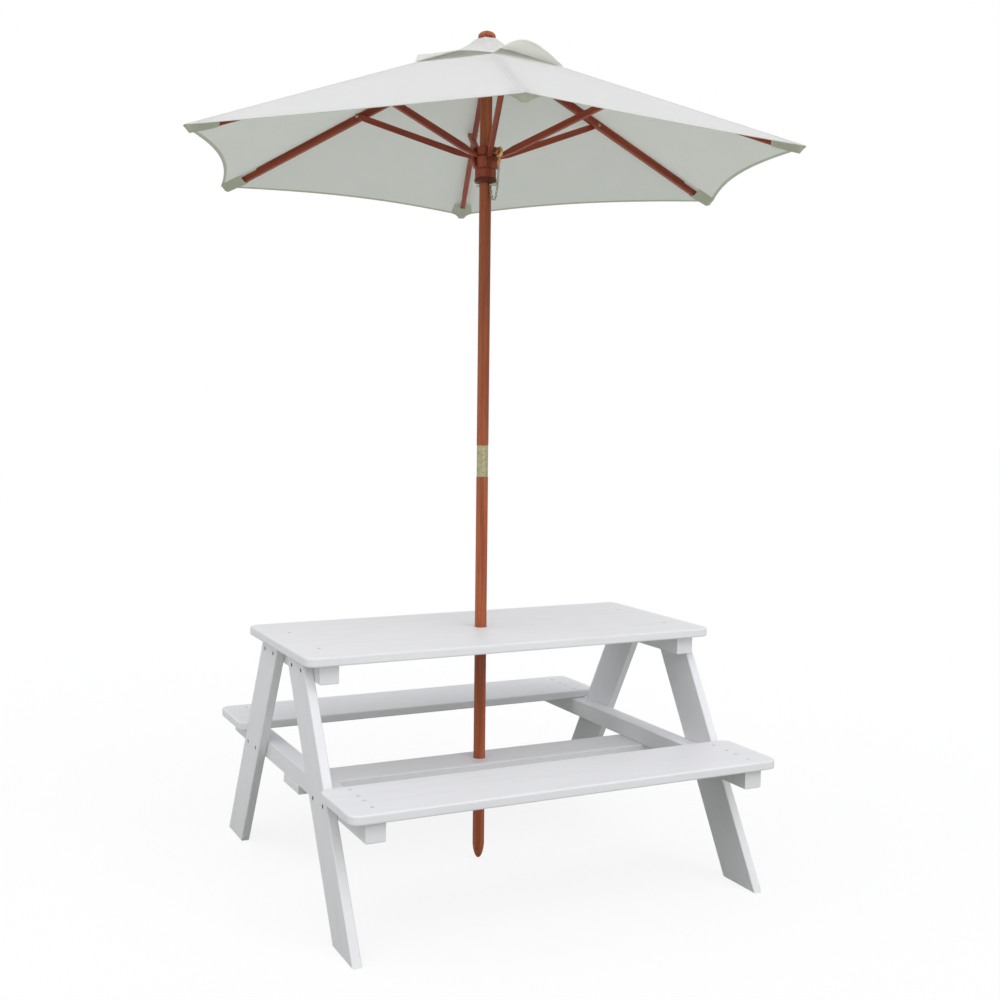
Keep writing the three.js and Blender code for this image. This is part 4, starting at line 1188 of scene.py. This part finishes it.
setting, screw_inputs = new_geometry_tree("board_screws", [
    ("Head", "NodeSocketObject"), ("Seed", "NodeSocketInt"), ("Finish", "NodeSocketMaterial")])
head = add(setting, "GeometryNodeObjectInfo", {"Object": screw_inputs.outputs["Head"]})
turned_by = add(setting, "FunctionNodeRandomValue", {
    "Min": (0.0, 0.0, 0.0), "Max": (0.0, 0.0, math.pi / 2), "Seed": screw_inputs.outputs["Seed"],
}, data_type="FLOAT_VECTOR")
set_in = add(setting, "GeometryNodeInstanceOnPoints", {
    "Points": screw_inputs.outputs["Geometry"], "Instance": head.outputs["Geometry"],
    "Rotation": turned_by,
})
driven = add(setting, "GeometryNodeSetMaterial", {
    "Geometry": add(setting, "GeometryNodeRealizeInstances", {"Geometry": set_in}),
    "Material": screw_inputs.outputs["Finish"],
})
add(setting, "NodeGroupOutput", {"Geometry": driven})
board_screws = bake_geometry("board_screws", setting, screw_places, [],
                             {"Head": screw_head, "Seed": 4, "Finish": painted_screw},
                             painted_screw)
bpy.data.objects.remove(screw_head)
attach(board_screws, "table")

# %% [markdown]
# ## The nail in the ferrule
#
# A short domed nail holds the brass ferrule to the lower pole. A bump in the ferrule's material
# could suggest it, but it stands proud and catches the light, so it is turned like the pin.

# %% Drive the nail
NAIL_AZIMUTH = math.radians(-155)
NAIL_HEIGHT = 834 * MM
FERRULE_RADIUS = 12 * MM
NAIL_PROFILE = [(0, -1.5), (0.8, -1.5), (0.8, -0.1), (1.9, 0), (1.7, 0.5), (1.0, 0.85), (0, 1)]
nail = turned("ferrule_nail", NAIL_PROFILE,
              outward(NAIL_AZIMUTH) * FERRULE_RADIUS + UP * NAIL_HEIGHT, outward(NAIL_AZIMUTH),
              pale_brass, sides=12)
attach(nail, "ferrule")
print("faces of the nail:", len(nail.data.polygons))

# %% [markdown]
# ## Floor and light
#
# The photograph was taken in the soft light of an overcast day. A pale world gives that light
# from everywhere, and two wide suns give the tops and the near sides their difference. Suns
# light near and far pieces alike, which lamps at a distance don't. To the camera and in
# reflections the world is plain white, and so is the floor, apart from the object's shadow.

# %% World and suns
bpy.context.scene.view_settings.view_transform = "Standard"
SKY_ZENITH = 0.81
world = bpy.data.worlds.new("overcast")
bpy.context.scene.world = world
world.use_nodes = True
sky = world.node_tree
sky.nodes.clear()


def seen_rays(tree):
    """1 for rays that show the background: to the camera, in a reflection or through glass."""
    rays = add(tree, "ShaderNodeLightPath").outputs
    seen = add(tree, "ShaderNodeMath", {
        0: rays["Is Camera Ray"], 1: rays["Is Glossy Ray"],
    }, operation="MAXIMUM")
    return add(tree, "ShaderNodeMath", {
        0: seen, 1: rays["Is Transmission Ray"],
    }, operation="MAXIMUM")


sky_height = add(sky, "ShaderNodeSeparateXYZ", {
    "Vector": add(sky, "ShaderNodeTexCoord").outputs["Generated"],
}).outputs["Z"]
overcast = add(sky, "ShaderNodeBackground", {
    "Color": "#F2F5FA",
    "Strength": add(sky, "ShaderNodeMapRange", {
        "Value": sky_height, "To Min": SKY_ZENITH / 3, "To Max": SKY_ZENITH,
    }),
})
white = add(sky, "ShaderNodeBackground", {"Color": "#FFFFFF", "Strength": 1.0})
add(sky, "ShaderNodeOutputWorld", {
    "Surface": add(sky, "ShaderNodeMixShader", {0: seen_rays(sky), 1: overcast, 2: white}),
})


def wide_sun(name, azimuth, elevation, width, strength):
    """Angles in degrees. azimuth is the side that the light comes from."""
    lamp = bpy.data.lights.new(name, "SUN")
    lamp.angle = math.radians(width)
    lamp.energy = strength
    holder = bpy.data.objects.new(name, lamp)
    rise = math.radians(elevation)
    source = outward(math.radians(azimuth)) * math.cos(rise) + UP * math.sin(rise)
    holder.rotation_euler = (-source).to_track_quat("-Z", "Y").to_euler()
    bpy.context.scene.collection.objects.link(holder)


wide_sun("bright_cloud_left", azimuth=180, elevation=38, width=70, strength=0.66)
wide_sun("bright_cloud_front", azimuth=-85, elevation=40, width=70, strength=1.47)
print("suns:", len(bpy.data.lights))

# %% [markdown]
# The floor is seen as white, with the object's soft shadow on it. The light that it sends up to
# the undersides is another matter: outdoors the ground is darker and a little green. A second
# floor could give that light, but one floor can do both, because Light Path tells a material
# which rays meet it. So to all other rays the floor is a grey green, and it is darker under the
# object than far from it: painted shade, added to the object's own shadow.

# %% Floor
FLOOR_REACH = 30
FLOOR_DROP = 0.5 * MM
# Up to the first distance from the middle the floor is in full painted shade, and past the second
# it has none.
PAINTED_SHADE_FULL_TO, PAINTED_SHADE_GONE_AT = 0.45, 1.5
WHITE_GLOW = 0.84
floor_mesh = bpy.data.meshes.new("studio_floor")
floor_corners = [(x * FLOOR_REACH, y * FLOOR_REACH, -FLOOR_DROP)
                 for x, y in ((-1, -1), (1, -1), (1, 1), (-1, 1))]
floor_mesh.from_pydata(floor_corners, [], [(0, 1, 2, 3)])
floor = bpy.data.objects.new("studio_floor", floor_mesh)
bpy.context.scene.collection.objects.link(floor)
floor_paint, ground = new_material("pale_floor")
from_middle = add(ground, "ShaderNodeVectorMath", {
    0: add(ground, "ShaderNodeTexCoord").outputs["Object"],
}, operation="LENGTH").outputs["Value"]
away = add(ground, "ShaderNodeMapRange", {
    "Value": from_middle, "From Min": PAINTED_SHADE_FULL_TO, "From Max": PAINTED_SHADE_GONE_AT,
}, interpolation_type="SMOOTHSTEP")
# Darker near the middle: painted shade under the object, met only by light that bounces off the
# floor.
ground_and_painted_shade = add(ground, "ShaderNodeMix", {
    "Factor": away, "A": "#8C9187", "B": "#BDC2BC",
}, data_type="RGBA")
bright = add(ground, "ShaderNodeMixShader", {
    0: WHITE_GLOW,
    1: add(ground, "ShaderNodeBsdfDiffuse", {"Color": "#FFFFFF"}),
    2: add(ground, "ShaderNodeEmission", {"Color": "#FFFFFF", "Strength": 1.0}),
})
add(ground, "ShaderNodeOutputMaterial", {
    "Surface": add(ground, "ShaderNodeMixShader", {
        0: seen_rays(ground),
        1: add(ground, "ShaderNodeBsdfDiffuse", {"Color": ground_and_painted_shade}),
        2: bright,
    }),
})
floor_mesh.materials.append(floor_paint)
print("the floor reaches in metres:", FLOOR_REACH)
